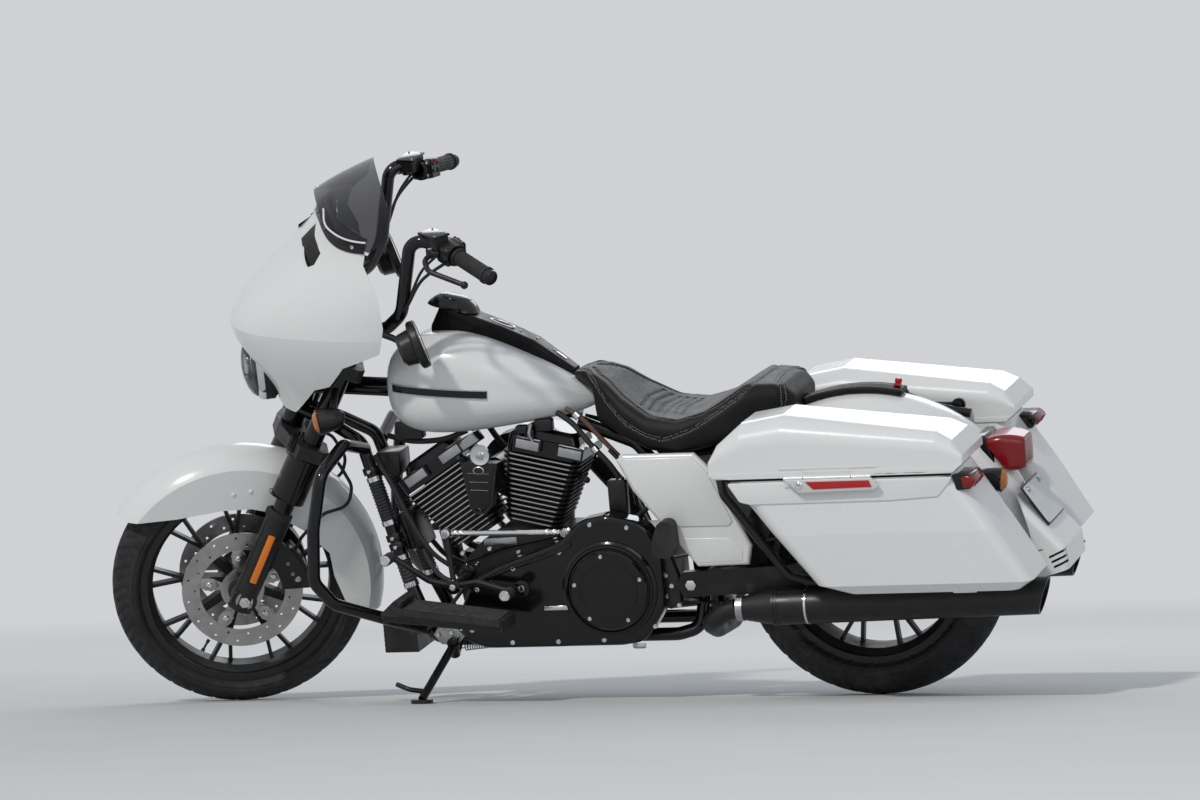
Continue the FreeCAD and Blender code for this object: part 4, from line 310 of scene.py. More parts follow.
CLEAR = lens("clear_lens", (0.85, 0.87, 0.9), 0.05, 0.95)
RED = lens("red_lens", (0.30, 0.005, 0.009), 0.2, 0.35)
AMBER = lens("amber_lens", (0.75, 0.19, 0.012), 0.1, 0.35)
ORANGE = enamel("orange_reflector", (0.85, 0.22, 0.02), 0.22)
RED_REFLECTOR = enamel("red_reflector", (0.46, 0.012, 0.014), 0.2)
PLATE = enamel("blank_plate", (0.66, 0.68, 0.70), 0.35)
BAG_TRIM = enamel("silver_white_trim", (0.62, 0.62, 0.61), 0.3)
# flat black used as painted shade in holes, slots, gaps and seams, and between the headlamp reflector's facets
PAINTED_SHADE = enamel("painted_shade_opening", (0.004, 0.004, 0.004), 0.8)
MIRROR_GLASS = metal("mirror_glass", (0.5, 0.51, 0.52), 0.02)
CLEAR_THIN = Finish("thin_clear_lens", (0.92, 0.94, 0.96), 0.03, Transmission_Weight=0.97, IOR=1.12).material
PALE_THREAD = enamel("pale_thread", (0.32, 0.31, 0.29), 0.7)
WRAP = enamel("woven_wrap", (0.05, 0.05, 0.055), 0.6)
BROWN_HOSE = enamel("brown_hose", (0.10, 0.05, 0.03), 0.5)
WALL_RING = rubber("sidewall_ring", (0.03, 0.029, 0.028), 0.8)
SCREEN = lens("display_glass", (0.012, 0.014, 0.018), 0.05, 0.0)

NODE_FINISH = {
    TYRE: ["front_tyre", "rear_tyre"],
    CAST: ["front_wheel", "rear_wheel", "fork_yokes", "engine_case", "oil_cooler", "rear_caliper"],
    DISC: ["front_discs", "rear_disc"],
    ALLOY: ["rear_pulley"],
    ZINC: ["front_axle", "rear_axle"],
    BLACK_SATIN: ["fork_sliders", "front_calipers", "hand_controls", "mirrors", "front_signals", "swingarm",
                  "rear_shocks", "side_stand", "air_cleaner", "horn_cover", "foot_controls"],
    BLACK_GLOSS: ["fork_tubes", "handlebar", "frame", "engine_guard", "fuel_door", "primary_cover",
                  "derby_cover", "bag_supports", "rocker_boxes"],
    WHITE: ["front_fender", "fairing", "tank", "rear_fender", "side_covers", "left_saddlebag", "right_saddlebag",
            "left_bag_lid", "right_bag_lid"],
    PLASTIC: ["inner_fairing"],
    DECK_BLACK: ["console"],
    SMOKED: ["windshield"],
    RUBBER: ["grips", "footrests", "drive_belt", "brake_hoses"],
    FINNED: ["cylinders"],
    EXHAUST: ["exhaust_pipes", "mufflers"],
    CLEAR: ["headlamp"],
    RED: ["rear_lamps"],
    PLATE: ["number_plate"],
    LEATHER: ["seat", "fender_strap"],
}
for finish, names in NODE_FINISH.items():
    for name in names:
        nodes[name].data.materials.clear()
        nodes[name].data.materials.append(finish)


# Fittings: small pieces made with bmesh operators, drawn in millimetres of the bike or the straight fork

MIRROR = Matrix.Scale(-1, 4, Y)
SIDE = Matrix((X, Z, Y)).transposed().to_4x4()  # sets an outline of (x, z) points up in the side view
SIDES = (1, -1)
TURNS = 28  # steps of a turned part
RAY_START = 600  # how far before its point a ray that looks for a surface starts


def in_scene(name, data):
    """A new object of the scene."""
    thing = bpy.data.objects.new(name, data)
    bpy.context.scene.collection.objects.link(thing)
    return thing


def shift(x, y, z):
    return Matrix.Translation((x, y, z))


def aim(at, way, up=Z):
    """A place whose own Z runs along way and whose own X leans to up."""
    way = Vector(way).normalized()
    lean = Vector(up) - way * way.dot(Vector(up))
    if lean.length < 0.01:
        lean = X - way * way.dot(X)
    lean.normalize()
    return Matrix.Translation(Vector(at)) @ Matrix((lean, way.cross(lean), way)).transposed().to_4x4()


def around(angle, reach=1.0, y=0.0):
    """A point on a circle of the side view, by its angle in degrees from straight ahead, upwards."""
    spin = math.radians(angle)
    return Vector((math.cos(spin) * reach, y, math.sin(spin) * reach))


def soften(part, bevel, segments=2):
    if bevel:
        bmesh.ops.bevel(part, geom=part.edges[:], offset=bevel, segments=segments, profile=0.5, affect="EDGES",
                        material=-1)
    return part


def lathe(outline, steps=TURNS):
    """Turned about Z from (along, radius) points."""
    part = bmesh.new()
    spots = [part.verts.new((radius, 0, along)) for along, radius in outline]
    edges = [part.edges.new(ends) for ends in zip(spots, spots[1:])]
    bmesh.ops.spin(part, geom=spots + edges, cent=(0, 0, 0), axis=(0, 0, 1), angle=math.tau, steps=steps,
                   use_merge=True)
    return part


def cap(*steps):
    """The outline of a solid turned part, closed onto its axis at both ends."""
    return [(steps[0][0], 0), *steps, (steps[-1][0], 0)]


def hoop(half, inner, outer):
    """The outline of a plain band, open to what it clasps."""
    return [(-half, inner), (-half, outer), (half, outer), (half, inner)]


def prism(outline, depth, bevel=0.0, segments=2):
    """A plate of the outline's shape, standing up from it along Z."""
    part = bmesh.new()
    face = part.faces.new([part.verts.new((a, b, 0)) for a, b in outline])
    pushed = bmesh.ops.extrude_face_region(part, geom=[face])
    top = [item for item in pushed["geom"] if isinstance(item, bmesh.types.BMVert)]
    bmesh.ops.translate(part, vec=(0, 0, depth), verts=top)
    return soften(part, bevel, segments)


def block(long, wide, high, bevel=1.0, segments=2):
    part = bmesh.new()
    bmesh.ops.create_cube(part, size=1)
    bmesh.ops.scale(part, vec=(long, wide, high), verts=part.verts)
    return soften(part, bevel, segments)


def sweep(points, wide, high=None, sides=8, ups=None):
    """A bar along the points, round or with four sides flat; ups say where its height points."""
    points = [Vector(point) for point in points]
    part = bmesh.new()
    square = sides == 4
    bmesh.ops.create_circle(part, cap_ends=True, segments=sides, radius=math.sqrt(2) if square else 1)
    if square:
        bmesh.ops.rotate(part, cent=(0, 0, 0), matrix=Matrix.Rotation(math.pi / 4, 3, "Z"), verts=part.verts)
    bmesh.ops.scale(part, vec=(high or wide, wide, 1), verts=part.verts)
    places = []
    for i, point in enumerate(points):
        way = points[min(i + 1, len(points) - 1)] - points[max(i - 1, 0)]
        up = ups[i] if ups else (places[-1].col[0].to_3d() if places else Z)
        places.append(aim(point, way, up))
    bmesh.ops.transform(part, matrix=places[0], verts=part.verts)
    part.faces.ensure_lookup_table()
    end = part.faces[0]
    for before, after in zip(places, places[1:]):
        pushed = bmesh.ops.extrude_face_region(part, geom=[end])["geom"]
        ring = [item for item in pushed if isinstance(item, bmesh.types.BMVert)]
        bmesh.ops.transform(part, matrix=after @ before.inverted(), verts=ring)
        end = next(item for item in pushed if isinstance(item, bmesh.types.BMFace))
    return part


def spring(place, radius, start, turns, rise, steps, wire, sides):
    """A coil about the place's Z that climbs by rise at each of its steps."""
    points = []
    for i in range(turns * steps + 1):
        spin = math.tau * i / steps
        points.append(place @ Vector((radius * math.cos(spin), radius * math.sin(spin), start + i * rise)))
    return sweep(points, wire, sides=sides)


def screw(radius, height=None):
    """A round-headed screw with a socket in its face."""
    height = height or radius * 0.7
    return lathe(cap((-1, radius), (height * 0.6, radius), (height, radius * 0.75), (height, radius * 0.45),
                     (height * 0.35, radius * 0.42)), 16)


def nut(radius, height):
    part = bmesh.new()
    bmesh.ops.create_cone(part, cap_ends=True, segments=6, radius1=radius, radius2=radius, depth=height)
    bmesh.ops.translate(part, vec=(0, 0, height / 2), verts=part.verts)
    return soften(part, radius * 0.1)


def flowing(points, steps=6):
    """A smooth run through the points."""
    points = [Vector(point) for point in points]
    run = []
    for i in range(len(points) - 1):
        a, b = points[max(i - 1, 0)], points[i]
        c, d = points[i + 1], points[min(i + 2, len(points) - 1)]
        for step in range(steps):
            t = step / steps
            run.append(0.5 * (2 * b + (c - a) * t + (2 * a - 5 * b + 4 * c - d) * t * t
                              + (3 * b - a - 3 * c + d) * t * t * t))
    return run + [points[-1]]


def surface(*names, space=BIKE):
    """The nodes' faces in a space's millimetres, for laying trim on."""
    mesh = bmesh.new()
    for name in names:
        mesh.from_mesh(nodes[name].data)
    bmesh.ops.transform(mesh, matrix=space.inverted(), verts=mesh.verts)
    tree = BVHTree.FromBMesh(mesh)
    mesh.free()
    return tree


def laid(tree, points, way, lift):
    """The points moved along way onto the surface and lifted off it, and the normals there."""
    spots, ups = [], []
    way = Vector(way).normalized()
    for point in points:
        hit, normal = tree.ray_cast(Vector(point) - way * RAY_START, way)[:2]
        if hit is None:
            continue
        if normal.dot(way) > 0:
            normal = -normal
        spots.append(hit + normal * lift)
        ups.append(normal)
    return spots, ups


def flat_on(tree, point, way=-Y, lift=0.0):
    """A place on the surface, its Z standing off it."""
    spots, ups = laid(tree, [point], way, lift)
    return aim(spots[0], ups[0])


def node_copy(name):
    """A CAD node's mesh with its triangles joined, in the bike's millimetres."""
    part = bmesh.new()
    part.from_mesh(nodes[name].data)
    bmesh.ops.transform(part, matrix=BIKE.inverted(), verts=part.verts)
    bmesh.ops.remove_doubles(part, verts=part.verts, dist=0.01)
    return part


def sliced(part, at, way, ahead=False):
    """Cuts the part at a plane and keeps what lies behind it, or else ahead of it."""
    bmesh.ops.bisect_plane(part, geom=part.verts[:] + part.edges[:] + part.faces[:], dist=0.001, plane_co=at,
                           plane_no=way, clear_inner=ahead, clear_outer=not ahead)


class Fitting:
    """One piece of the scene, gathered from parts that each have a finish and a place."""

    def __init__(self, name, body="frame", slot="black_satin"):
        self.name, self.body, self.slot = name, body, slot
        self.mesh = bmesh.new()
        self.finishes = []

    def add(self, part, finish, place=None, twin=False):
        """Takes the part over; twin adds its mirror image on the other side."""
        if finish not in self.finishes:
            self.finishes.append(finish)
        index = self.finishes.index(finish)
        bmesh.ops.remove_doubles(part, verts=part.verts, dist=0.0005)
        bmesh.ops.transform(part, matrix=place or Matrix(), verts=part.verts)
        for face in part.faces:
            face.material_index = index
            face.smooth = True
        held = bpy.data.meshes.new("part")
        for flip in [Matrix(), MIRROR][: 2 if twin else 1]:
            bmesh.ops.transform(part, matrix=flip, verts=part.verts)
            bmesh.ops.recalc_face_normals(part, faces=part.faces)
            part.to_mesh(held)
            self.mesh.from_mesh(held)
        bpy.data.meshes.remove(held)
        part.free()

    def turned(self, outline, finish, at, way=Y, steps=TURNS, twin=False):
        self.add(lathe(outline, steps), finish, aim(at, way), twin)

    def bolt(self, radius, finish, at, way=Y, height=None, twin=False):
        self.add(screw(radius, height), finish, aim(at, way), twin)

    def nut(self, radius, height, finish, at, way=Y):
        self.add(nut(radius, height), finish, aim(at, way))

    def plate(self, outline, depth, finish, y, bevel=0.0, segments=2, twin=True):
        """A plate cut to an outline of the side view, its inner face at y."""
        self.add(prism(outline, depth, bevel, segments), finish, shift(0, y, 0) @ SIDE, twin)

    def strip(self, tree, run, way, lift, wide, high, finish):
        """A flat strip laid along a surface, on both sides of the bike."""
        spots, ups = laid(tree, run, way, lift)
        if len(spots) > 2:
            self.add(sweep(spots, wide, high, 4, ups), finish, twin=True)

    def done(self, replaced=(), sharp=38):
        bmesh.ops.transform(self.mesh, matrix=SPACES.get(self.body, BIKE), verts=self.mesh.verts)
        mesh = bpy.data.meshes.new(self.name)
        self.mesh.to_mesh(mesh)
        self.mesh.free()
        for finish in self.finishes:
            mesh.materials.append(finish)
        mesh.set_sharp_from_angle(angle=math.radians(sharp))
        piece = in_scene(self.name, mesh)
        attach(piece, self.body)
        if replaced:
            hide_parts(*replaced)
        return piece


# Tyres: the CAD section again with sipes cut into its crown

def treaded_tyre(name, axle, outer, width, bead, bead_half, sectors, body):
    """A tyre of the CAD's section whose crown is cut by a centre groove and slanting sipes."""
    half = width / 2
    middle = outer - half
    columns, steps, depth = 30, 12, 4.2
    shoulder = math.radians(66)
    crown = [(middle + half * math.cos(a), half * math.sin(a))
             for a in [shoulder * (2 * i / columns - 1) for i in range(columns + 1)]]
    wall = [(bead + 34, half - 0.3), (bead + 26, half - 1.6), (bead + 24, half - 0.4), (bead + 18, half - 4),
            (bead + 12, bead_half + 6), (bead + 10, bead_half), (bead, bead_half), (bead, bead_half - 8),
            (bead + 14, bead_half - 5), (bead + 30, half - 9)]
    inner = [(middle + (half - 9) * math.cos(a), (half - 9) * math.sin(a)) for a in (0.9, 0.3)]
    right = wall + inner
    outline = crown + right + [(r, -y) for r, y in reversed(right)]
    part = bmesh.new()
    spots = [part.verts.new((r, y, 0)) for r, y in outline]
    edges = [part.edges.new((a, b)) for a, b in zip(spots, spots[1:] + spots[:1])]
    sector = math.tau / sectors
    bmesh.ops.spin(part, geom=spots + edges, cent=(0, 0, 0), axis=(0, 1, 0), angle=sector, steps=steps)
    for spot in part.verts:
        across = spot.co.y
        ring = math.hypot(spot.co.x, spot.co.z)
        if ring < middle or abs(across) > half * 0.93:
            continue
        turn = math.atan2(-spot.co.z, spot.co.x) / sector % 1
        side = 1 if across > 0 else -1
        share = abs(across) / half
        along = (turn + side * 0.25 + share ** 1.5 * 0.8) % 1
        sipe = 0.12 < share < 0.9 and along < 0.17
        short = 0.45 < share < 0.8 and 0.5 < along < 0.62
        groove = abs(across - half * 0.05 * math.sin(turn * math.tau)) < half * 0.045
        if sipe or short or groove:
            bmesh.ops.scale(part, vec=(1 - depth / ring, 1, 1 - depth / ring), verts=[spot])
    bmesh.ops.spin(part, geom=part.verts[:] + part.edges[:] + part.faces[:], cent=(0, 0, 0), axis=(0, 1, 0),
                   angle=math.tau * (sectors - 1) / sectors, steps=sectors - 1, use_duplicate=True)
    tyre = Fitting(name + "_tread", body, "tyre")
    tyre.add(part, TYRE, Matrix.Translation(axle))
    for side in SIDES:
        tyre.turned([(0, bead + 20), (1.6, bead + 21), (1.6, bead + 23), (0, bead + 24)], WALL_RING,
                    axle + Y * side * (half - 3.6), Y * side, 72)
    tyre.done(replaced=[name])


treaded_tyre("front_tyre", FRONT_AXLE, FRONT_RADIUS, 130, 241, 45, 34, "front_wheel")
treaded_tyre("rear_tyre", REAR_AXLE, REAR_RADIUS, 180, 228, 64, 30, "rear_wheel")

# Front wheel, brakes and fork legs
DISC_FACE, FORK_SPREAD = 72.2, 126
hub = Fitting("front_hub_trim", "front_wheel", "steel")
for out in (Y, -Y):
    centre = FRONT_AXLE + out * DISC_FACE
    for i in range(5):
        reach = around(90 + 72 * i, 84)
        arm = prism([(-24, 0), (-9, 17), (22, 12), (22, -12), (-9, -17)], 2.6, 0.8)
        hub.add(arm, DISC, aim(centre + reach, out, reach))
        hub.bolt(8, CHROME, centre + reach + out * 2.4, out, 5)
    hub.turned(cap((0, 34), (3, 36), (6, 32)), CAST, FRONT_AXLE + out * 71, out)
valve = FRONT_AXLE + Vector((118, 20, -168))
hub.turned([(0, 0), (0, 5), (6, 5), (7, 3), (24, 3), (25, 4.4), (33, 4.4), (34, 0)], RUBBER, valve,
           FRONT_AXLE + Y * 20 - valve, 12)
hub.done()

legs = Fitting("fork_leg_trim", "fork", "black_satin")
leg = Vector((-64, 0, 119)).normalized()
for out in (Y, -Y):
    core = FRONT_AXLE + out * FORK_SPREAD
    middle = FRONT_AXLE + leg * 120 + out * 157.4
    legs.add(block(132, 17, 3.4, 1.2), ORANGE, aim(middle, out, leg))
    legs.add(block(140, 24, 2.2, 1), BLACK_SATIN, aim(middle - out * 1.6, out, leg))
    end = FRONT_AXLE + out * 149.4
    legs.turned(cap((0, 21), (2, 22), (4, 21)), STEEL, end, out)
    legs.nut(14.5, 9, CHROME, end + out * 4, out)
    legs.turned(cap((0, 8), (3, 7), (4, 3)), CHROME, end + out * 13, out, 16)
    legs.bolt(5, STEEL, FRONT_AXLE - leg * 14 + out * 157 - X * 18, out)
    legs.turned([(-7, 32.6), (-5, 34), (6, 34), (9, 30), (12, 25.2), (12, 24.6)], RUBBER, core + leg * 234.6, leg)
    for along in (284, 396):
        legs.turned([(-1.6, 43), (-1.2, 44.2), (1.2, 44.2), (1.6, 43)], BLACK_GLOSS, core + leg * along, leg)
    for turn in range(-3, 4):
        spin = math.radians(turn * 17 - 20)
        reach = X * math.cos(spin) + out * math.sin(spin)
        root = core + (reach - leg * reach.dot(leg)).normalized() * 43.2
        legs.add(sweep([root + leg * 404, root + leg * 442], 2.6, sides=6), BLACK_GLOSS)
legs.done()

calipers = Fitting("caliper_trim", "fork", "cast_black")
for side in SIDES:
    out = Y * side
    for x, z, radius in ((1494, 425, 5.5), (1506, 380, 5.5), (1497, 352, 5.5), (1486, 336, 8.5)):
        calipers.bolt(radius, STEEL, (x, side * 90, z), out, 5)
    for turn in (150, 164, 177):
        spot = FRONT_AXLE + around(turn, 132, side * 88.3)
        calipers.turned(cap((-1, 15.5), (1.6, 15), (1.6, 11), (0.4, 10)), BLACK_GLOSS, spot, out)
        if side > 0:
            calipers.turned(cap((0, 14), (5, 12)), CAST, spot - out * 50, -out)
    calipers.nut(7.5, 8, ZINC, FRONT_AXLE + Vector((-128, side * 67, 58)), (-0.5, 0, 0.9))
calipers.done()

guard = Fitting("front_fender_trim", "fork", "white_paint")
fender = surface("front_fender", space=FORK)
for x, z in ((1617, 575), (1574, 577)):
    guard.add(lathe([(-1, 0), (-1, 6.4), (1, 6), (2.6, 3.6), (3.2, 0)], 18), WHITE,
              flat_on(fender, (x, 80, z)), twin=True)
for angle in (60, 112, 175):
    guard.bolt(4.5, ZINC, FRONT_AXLE + around(angle, 262, 77), -Y, twin=True)
guard.turned(cap((-6, 15), (4, 15), (6, 12)), BLACK_SATIN, (1548, 92, 441), Y, 24, True)
guard.bolt(6.5, CHROME, (1548, 98, 441), Y, 5, True)
guard.done()

# Headlamp: bezel, reflector bowl, lamp units and a thin domed lens
LAMP = Vector((1502, 0, 878))
lamp = Fitting("headlamp_unit", "fork", "lens")
lamp.turned(cap((-48, 54), (-18, 90), (4, 90), (4, 84), (-16, 82), (-42, 50)), PLASTIC, LAMP, X, 48)
lamp.turned([(4, 90), (12, 90), (20, 86), (21, 83), (17, 80.5), (8, 80), (4, 84)], CHROME, LAMP, X, 64)
lamp.turned(cap((-40, 44), (-24, 66), (2, 81), (6, 81), (-20, 64), (-36, 42)), CHROME, LAMP, X, 48)
for y, z, radius in ((0, 28, 27), (0, -28, 27), (42, 0, 15), (-42, 0, 15)):
    unit = LAMP + Vector((-34, y, z))
    lamp.turned(cap((0, radius + 4), (26, radius + 4), (28, radius), (22, radius)), BLACK_SATIN, unit, X)
    lamp.turned([(20, 0), (20, radius - 0.5), (26, radius - 1), (34, radius * 0.7), (38, radius * 0.36), (39, 0)],
                CLEAR, unit, X)
dome = [(17 + 38 * math.sin(math.radians(a)), 81 * math.cos(math.radians(a))) for a in (0, 12, 28, 46, 66, 80)]
inside = [(along - 3, max(radius - 3, 0)) for along, radius in dome]
lamp.turned([(14, 81)] + dome + [(55, 0)], CLEAR_THIN, LAMP, X, 64)
lamp.turned([(12, 78)] + inside + [(52, 0)], CLEAR_THIN, LAMP, X, 64)
# dark ribs across the reflector bowl: painted shade between its facets
for turn in range(0, 360, 30):
    spin = math.radians(turn)
    rib = Vector((0, math.cos(spin), math.sin(spin)))
    lamp.add(sweep([LAMP + X * -30 + rib * 48, LAMP + X * -2 + rib * 76], 1.6, sides=6), PAINTED_SHADE)
lamp.done(replaced=["headlamp"])

# Fairing: screen trim band with its lip and bolts, vent inserts and gauges
ONTO_SHELL = (-0.78, -0.62, 0)
shell = surface("fairing", "windshield", space=FORK)
nose = Fitting("screen_trim", "fork", "plastic")
band = flowing([(1326, 0, 1252), (1325, 60, 1250), (1321, 110, 1240), (1309, 150, 1228), (1290, 182, 1219),
                (1263, 212, 1214), (1234, 240, 1214)])
nose.strip(shell, band, ONTO_SHELL, 1.4, 15, 2.2, BLACK_GLOSS)
lip = flowing([(1317, 92, 1279), (1311, 110, 1274), (1302, 150, 1259), (1290, 185, 1249),
               (1270, 216, 1240), (1248, 240, 1236), (1226, 256, 1235)])
nose.strip(shell, lip, ONTO_SHELL, 1.6, 2.2, 1.6, WHITE)
for spot in ((1259, 214, 1213), (1321, 118, 1236)):
    nose.add(screw(5.4, 4), CHROME, flat_on(shell, spot, ONTO_SHELL, 3.2), twin=True)
nose.strip(shell, band[26:31], ONTO_SHELL, 3.4, 9, 1.2, BLACK_SATIN)
nose.bolt(5.4, CHROME, (1328.5, 0, 1252), (0.86, 0, 0.5), 4)
nose.done()

vents = Fitting("fairing_vents", "fork", "plastic")
slot = prism([(30, 1240), (56, 1202), (88, 1178), (152, 1152), (168, 1166), (156, 1194), (121, 1209), (84, 1219)],
             3, 0.8)
bmesh.ops.transform(slot, matrix=Matrix((Y, Z, X)).transposed().to_4x4(), verts=slot.verts)
for spot in slot.verts:
    hit = shell.ray_cast(Vector((1700, spot.co.y * 1.12, spot.co.z)), -X)[0]
    spot.co.x += (hit.x if hit else 1380) - 9
vents.add(slot, BLACK_GLOSS, twin=True)
for z in (1172, 1184, 1196):
    run = [(1400, y, z + (110 - y) * 0.3) for y in (88, 110, 132, 146)]
    vents.strip(shell, run, -X, -5, 1.6, 3.4, PLASTIC)
vents.done()

dash = Fitting("dashboard", "fork", "plastic")
panel = surface("inner_fairing", space=FORK)
for y, z, radius in ((74, 1176, 46), (-74, 1176, 46), (150, 1196, 26), (-150, 1196, 26)):
    place = flat_on(panel, (1300, y, z), X, 0.4)
    dash.add(lathe([(-3, radius - 2), (-3, radius + 4), (9, radius + 4), (12, radius + 1), (11, radius - 2),
                    (4, radius - 3)], 40), CHROME, place)
    dash.add(lathe(cap((-2, radius - 1), (5, radius - 1)), 40), SCREEN, place)
    for tick in range(9):
        spin = math.radians(-120 + tick * 30)
        mark = Vector((math.cos(spin), math.sin(spin), 0)) * radius
        dash.add(sweep([mark * 0.72 + Z * 5.3, mark * 0.86 + Z * 5.3], 0.7, sides=4), PLATE, place)
    dash.add(sweep([Z * 5.6, Vector((radius * 0.3, radius * 0.6, 5.6))], 0.9, sides=4), ORANGE, place)
    dash.add(lathe([(5, 0), (5, 4), (8, 3.4), (8.4, 0)], 16), BLACK_SATIN, place)
place = flat_on(panel, (1300, 0, 1088), X, 1)
dash.add(block(112, 180, 14, 5, 3), BLACK_SATIN, place)
dash.add(block(92, 156, 2, 0.8), SCREEN, place @ shift(0, 0, 7.2))
for y in (-74, -37, 0, 37, 74):
    dash.add(block(9, 22, 5, 1.4), RUBBER, flat_on(panel, (1300, y, 1016), X, 2))
for y in (-205, 205):
    place = flat_on(panel, (1300, y, 1088), X, 0.5)
    dash.add(lathe([(-2, 0), (-2, 50), (5, 50), (8, 47), (5, 44), (4, 0)], 40), PLASTIC, place)
    for radius in (10, 20, 30, 40):
        dash.add(lathe([(4.5, radius - 1.4), (6, radius), (4.5, radius + 1.4)], 36), BLACK_SATIN, place)
dash.done()

# Handlebar controls and mirrors
GRIP, GRIP_END = Vector((1020, 366, 1208)), Vector((955, 478, 1182))
along = (GRIP_END - GRIP).normalized()
rear_up = X.cross(along).normalized()
behind = rear_up.cross(along).normalized()
bars = Fitting("bar_controls", "fork", "black_satin")
box = GRIP - along * 27
bars.add(block(58, 50, 48, 9, 3), BLACK_SATIN, aim(box, along, behind), twin=True)
bars.add(block(4, 46, 44, 1, 1), BLACK_GLOSS, aim(box + behind * 28.5, along, behind), twin=True)
for lift, out, long, high in ((12, -10, 16, 9), (-6, -10, 16, 9), (12, 12, 14, 8), (-6, 12, 12, 12)):
    spot = box + behind * 31 + rear_up * lift + along * out
    bars.add(block(5, high, long, 1.6), PLASTIC, aim(spot, along, behind), twin=True)
switch = box + behind * 32 + rear_up * 20
bars.add(block(4, 5, 8, 1), ORANGE, aim(switch - along * 8, along, behind))
bars.add(block(4, 7, 9, 1), RED_REFLECTOR, aim(MIRROR @ switch, along.reflect(Y), behind.reflect(Y)))
clamp = GRIP - along * 58
bars.turned([(-9, 16), (-9, 21), (-8, 22.5), (8, 22.5), (9, 21), (9, 16)], BLACK_SATIN, clamp, along, twin=True)
for lift in (15, -15):
    bars.bolt(4.2, STEEL, clamp + behind * 21 + rear_up * lift, behind, twin=True)
perch = GRIP - along * 40 + Vector((42, 9, 0))
bars.turned(cap((-11, 9), (-9, 10.5), (9, 10.5), (11, 9)), BLACK_GLOSS, perch, Z, 20, True)
bars.bolt(6, CHROME, perch + Z * 11, Z, 3, True)
turn = Matrix.Rotation(math.atan2(along.y, along.x) - math.pi / 2, 4, "Z")
place = Matrix.Translation(GRIP - along * 48 + Vector((24, -6, 38.5))) @ turn
bars.add(block(48, 70, 6, 2.4, 3), BLACK_GLOSS, place, twin=True)
for x in (-17, 17):
    for y in (-28, 28):
        bars.add(screw(2.6, 1.6), STEEL, place @ shift(x, y, 3), twin=True)
for i in range(18):
    spin = math.radians(i * 20)
    off = GRIP + (behind * math.cos(spin) + rear_up * math.sin(spin)) * 18.1
    bars.add(sweep([off + along * 16, off + along * 108], 1.5, 1.1, 6), RUBBER, twin=True)
for at, wide in ((6, 21), (118, 20.6)):
    bars.turned([(-4, 17), (-4, wide), (-3, wide + 1), (3, wide + 1), (4, wide), (4, 17)], RUBBER,
                GRIP + along * at, along, twin=True)
bars.turned([(0, 0), (0, 18.6), (5, 18.6), (8, 16), (9, 0)], BLACK_GLOSS, GRIP + along * 131.2, along, twin=True)
for y in (-46, 46):
    bars.add(block(52, 40, 16, 4, 3), BLACK_SATIN, aim((1320, y, 1014), Z, X))
for radius, cable in (
        (4, [(1052, 372, 1196), (1110, 340, 1150), (1150, 310, 1080), (1190, 270, 1020), (1222, 226, 985)]),
        (3.4, [(1044, 350, 1226), (1104, 322, 1170), (1146, 296, 1090), (1192, 250, 1030), (1226, 190, 1000)])):
    bars.add(sweep(flowing(cable, 8), radius), RUBBER, twin=True)
bars.done()

MIRROR_WAY, MIRROR_AT = (0.95, 0, -0.27), (1128, 352, 998)
mirrors = Fitting("mirror_trim", "fork", "chrome")
for outline, finish in ((cap((-1.4, 55), (-0.6, 56), (0.4, 56)), MIRROR_GLASS),
                        ([(-1.4, 56), (-2.4, 57.5), (-1, 59.4), (1, 59.4), (1, 56)], BLACK_SATIN)):
    mirrors.turned(outline, finish, MIRROR_AT, MIRROR_WAY, 48, True)
mirrors.done()

SIGNAL_WAY, SIGNAL_AT = (1, 0, -0.1), (1366, 232, 792)
SIGNAL_LENS = [(20, 0), (20, 27), (28, 31), (31, 29.5), (33, 26), (37.5, 20), (40, 10), (40.5, 0)]
signals = Fitting("signal_lenses", "fork", "lens")
signals.turned(SIGNAL_LENS, AMBER, SIGNAL_AT, SIGNAL_WAY, twin=True)
signals.turned([(24, 31.8), (25, 33.4), (28, 33.4), (29, 31)], BLACK_GLOSS, SIGNAL_AT, SIGNAL_WAY, twin=True)
signals.done()

# Engine trim
engine = Fitting("engine_trim", "frame", "bare_alloy")
for lean, sign, foot_x in BARRELS:
    fore = around(-lean)
    up = around(90 - lean)
    base = CRANK + up * BARREL_TOP
    core = prism([(-50, 0), (58, 0), (70, -60), (92, -166), (-88, -166), (-66, -60)], 132, 8)
    engine.add(core, WRINKLE, aim(CRANK + up * 194 - Y * 66, Y, fore))
    for ahead in (-74, 34):
        middle = base + fore * ahead + up * 23.8
        engine.add(block(22, 58, 1.6, 0.7), ALLOY, aim(middle + Y * 94.6, Y, up))
        # a chrome strip on each rocker box's upper facet stands in for the sky's reflection there: painted
        # reflection
        engine.add(block(8, 60, 5, 2), CHROME, aim(middle + up * 13.5 + Y * 90, up * 0.8 + Y, up))
        for off in (-29, 29):
            engine.bolt(4.2, STEEL, middle + fore * off + up * 15 + Y * 60, up, 3.4, True)
    for ahead, y in ((-62, 50), (-62, -50), (42, 50), (42, -50), (-10, 58), (-10, -58)):
        engine.bolt(5, CHROME, base + fore * (ahead * 0.9 - 10) + up * 57 + Y * y * 0.8, up)
    engine.turned(cap((0, 9), (8, 9), (9, 6.5), (34, 6), (36, 8), (58, 8), (60, 5)), RUBBER,
                  CRANK + up * 330 + fore * 88 * sign + Y * 30, fore * 0.6 * sign + Y * 0.8, 16)
    for off in (-22, 22):
        foot = CRANK + Vector((foot_x + off * 0.7, -112, 96))
        head = CRANK + up * 372 + fore * (off - 14) - Y * 74
        engine.add(sweep([foot, foot.lerp(head, 0.3), foot.lerp(head, 0.7), head], 9, sides=16), CHROME)
        for share in (0.06, 0.5, 0.93):
            engine.turned(hoop(8, 9, 12), CHROME, foot.lerp(head, share), head - foot, 20)
HORN_NUT = Vector((931, 129, 640))
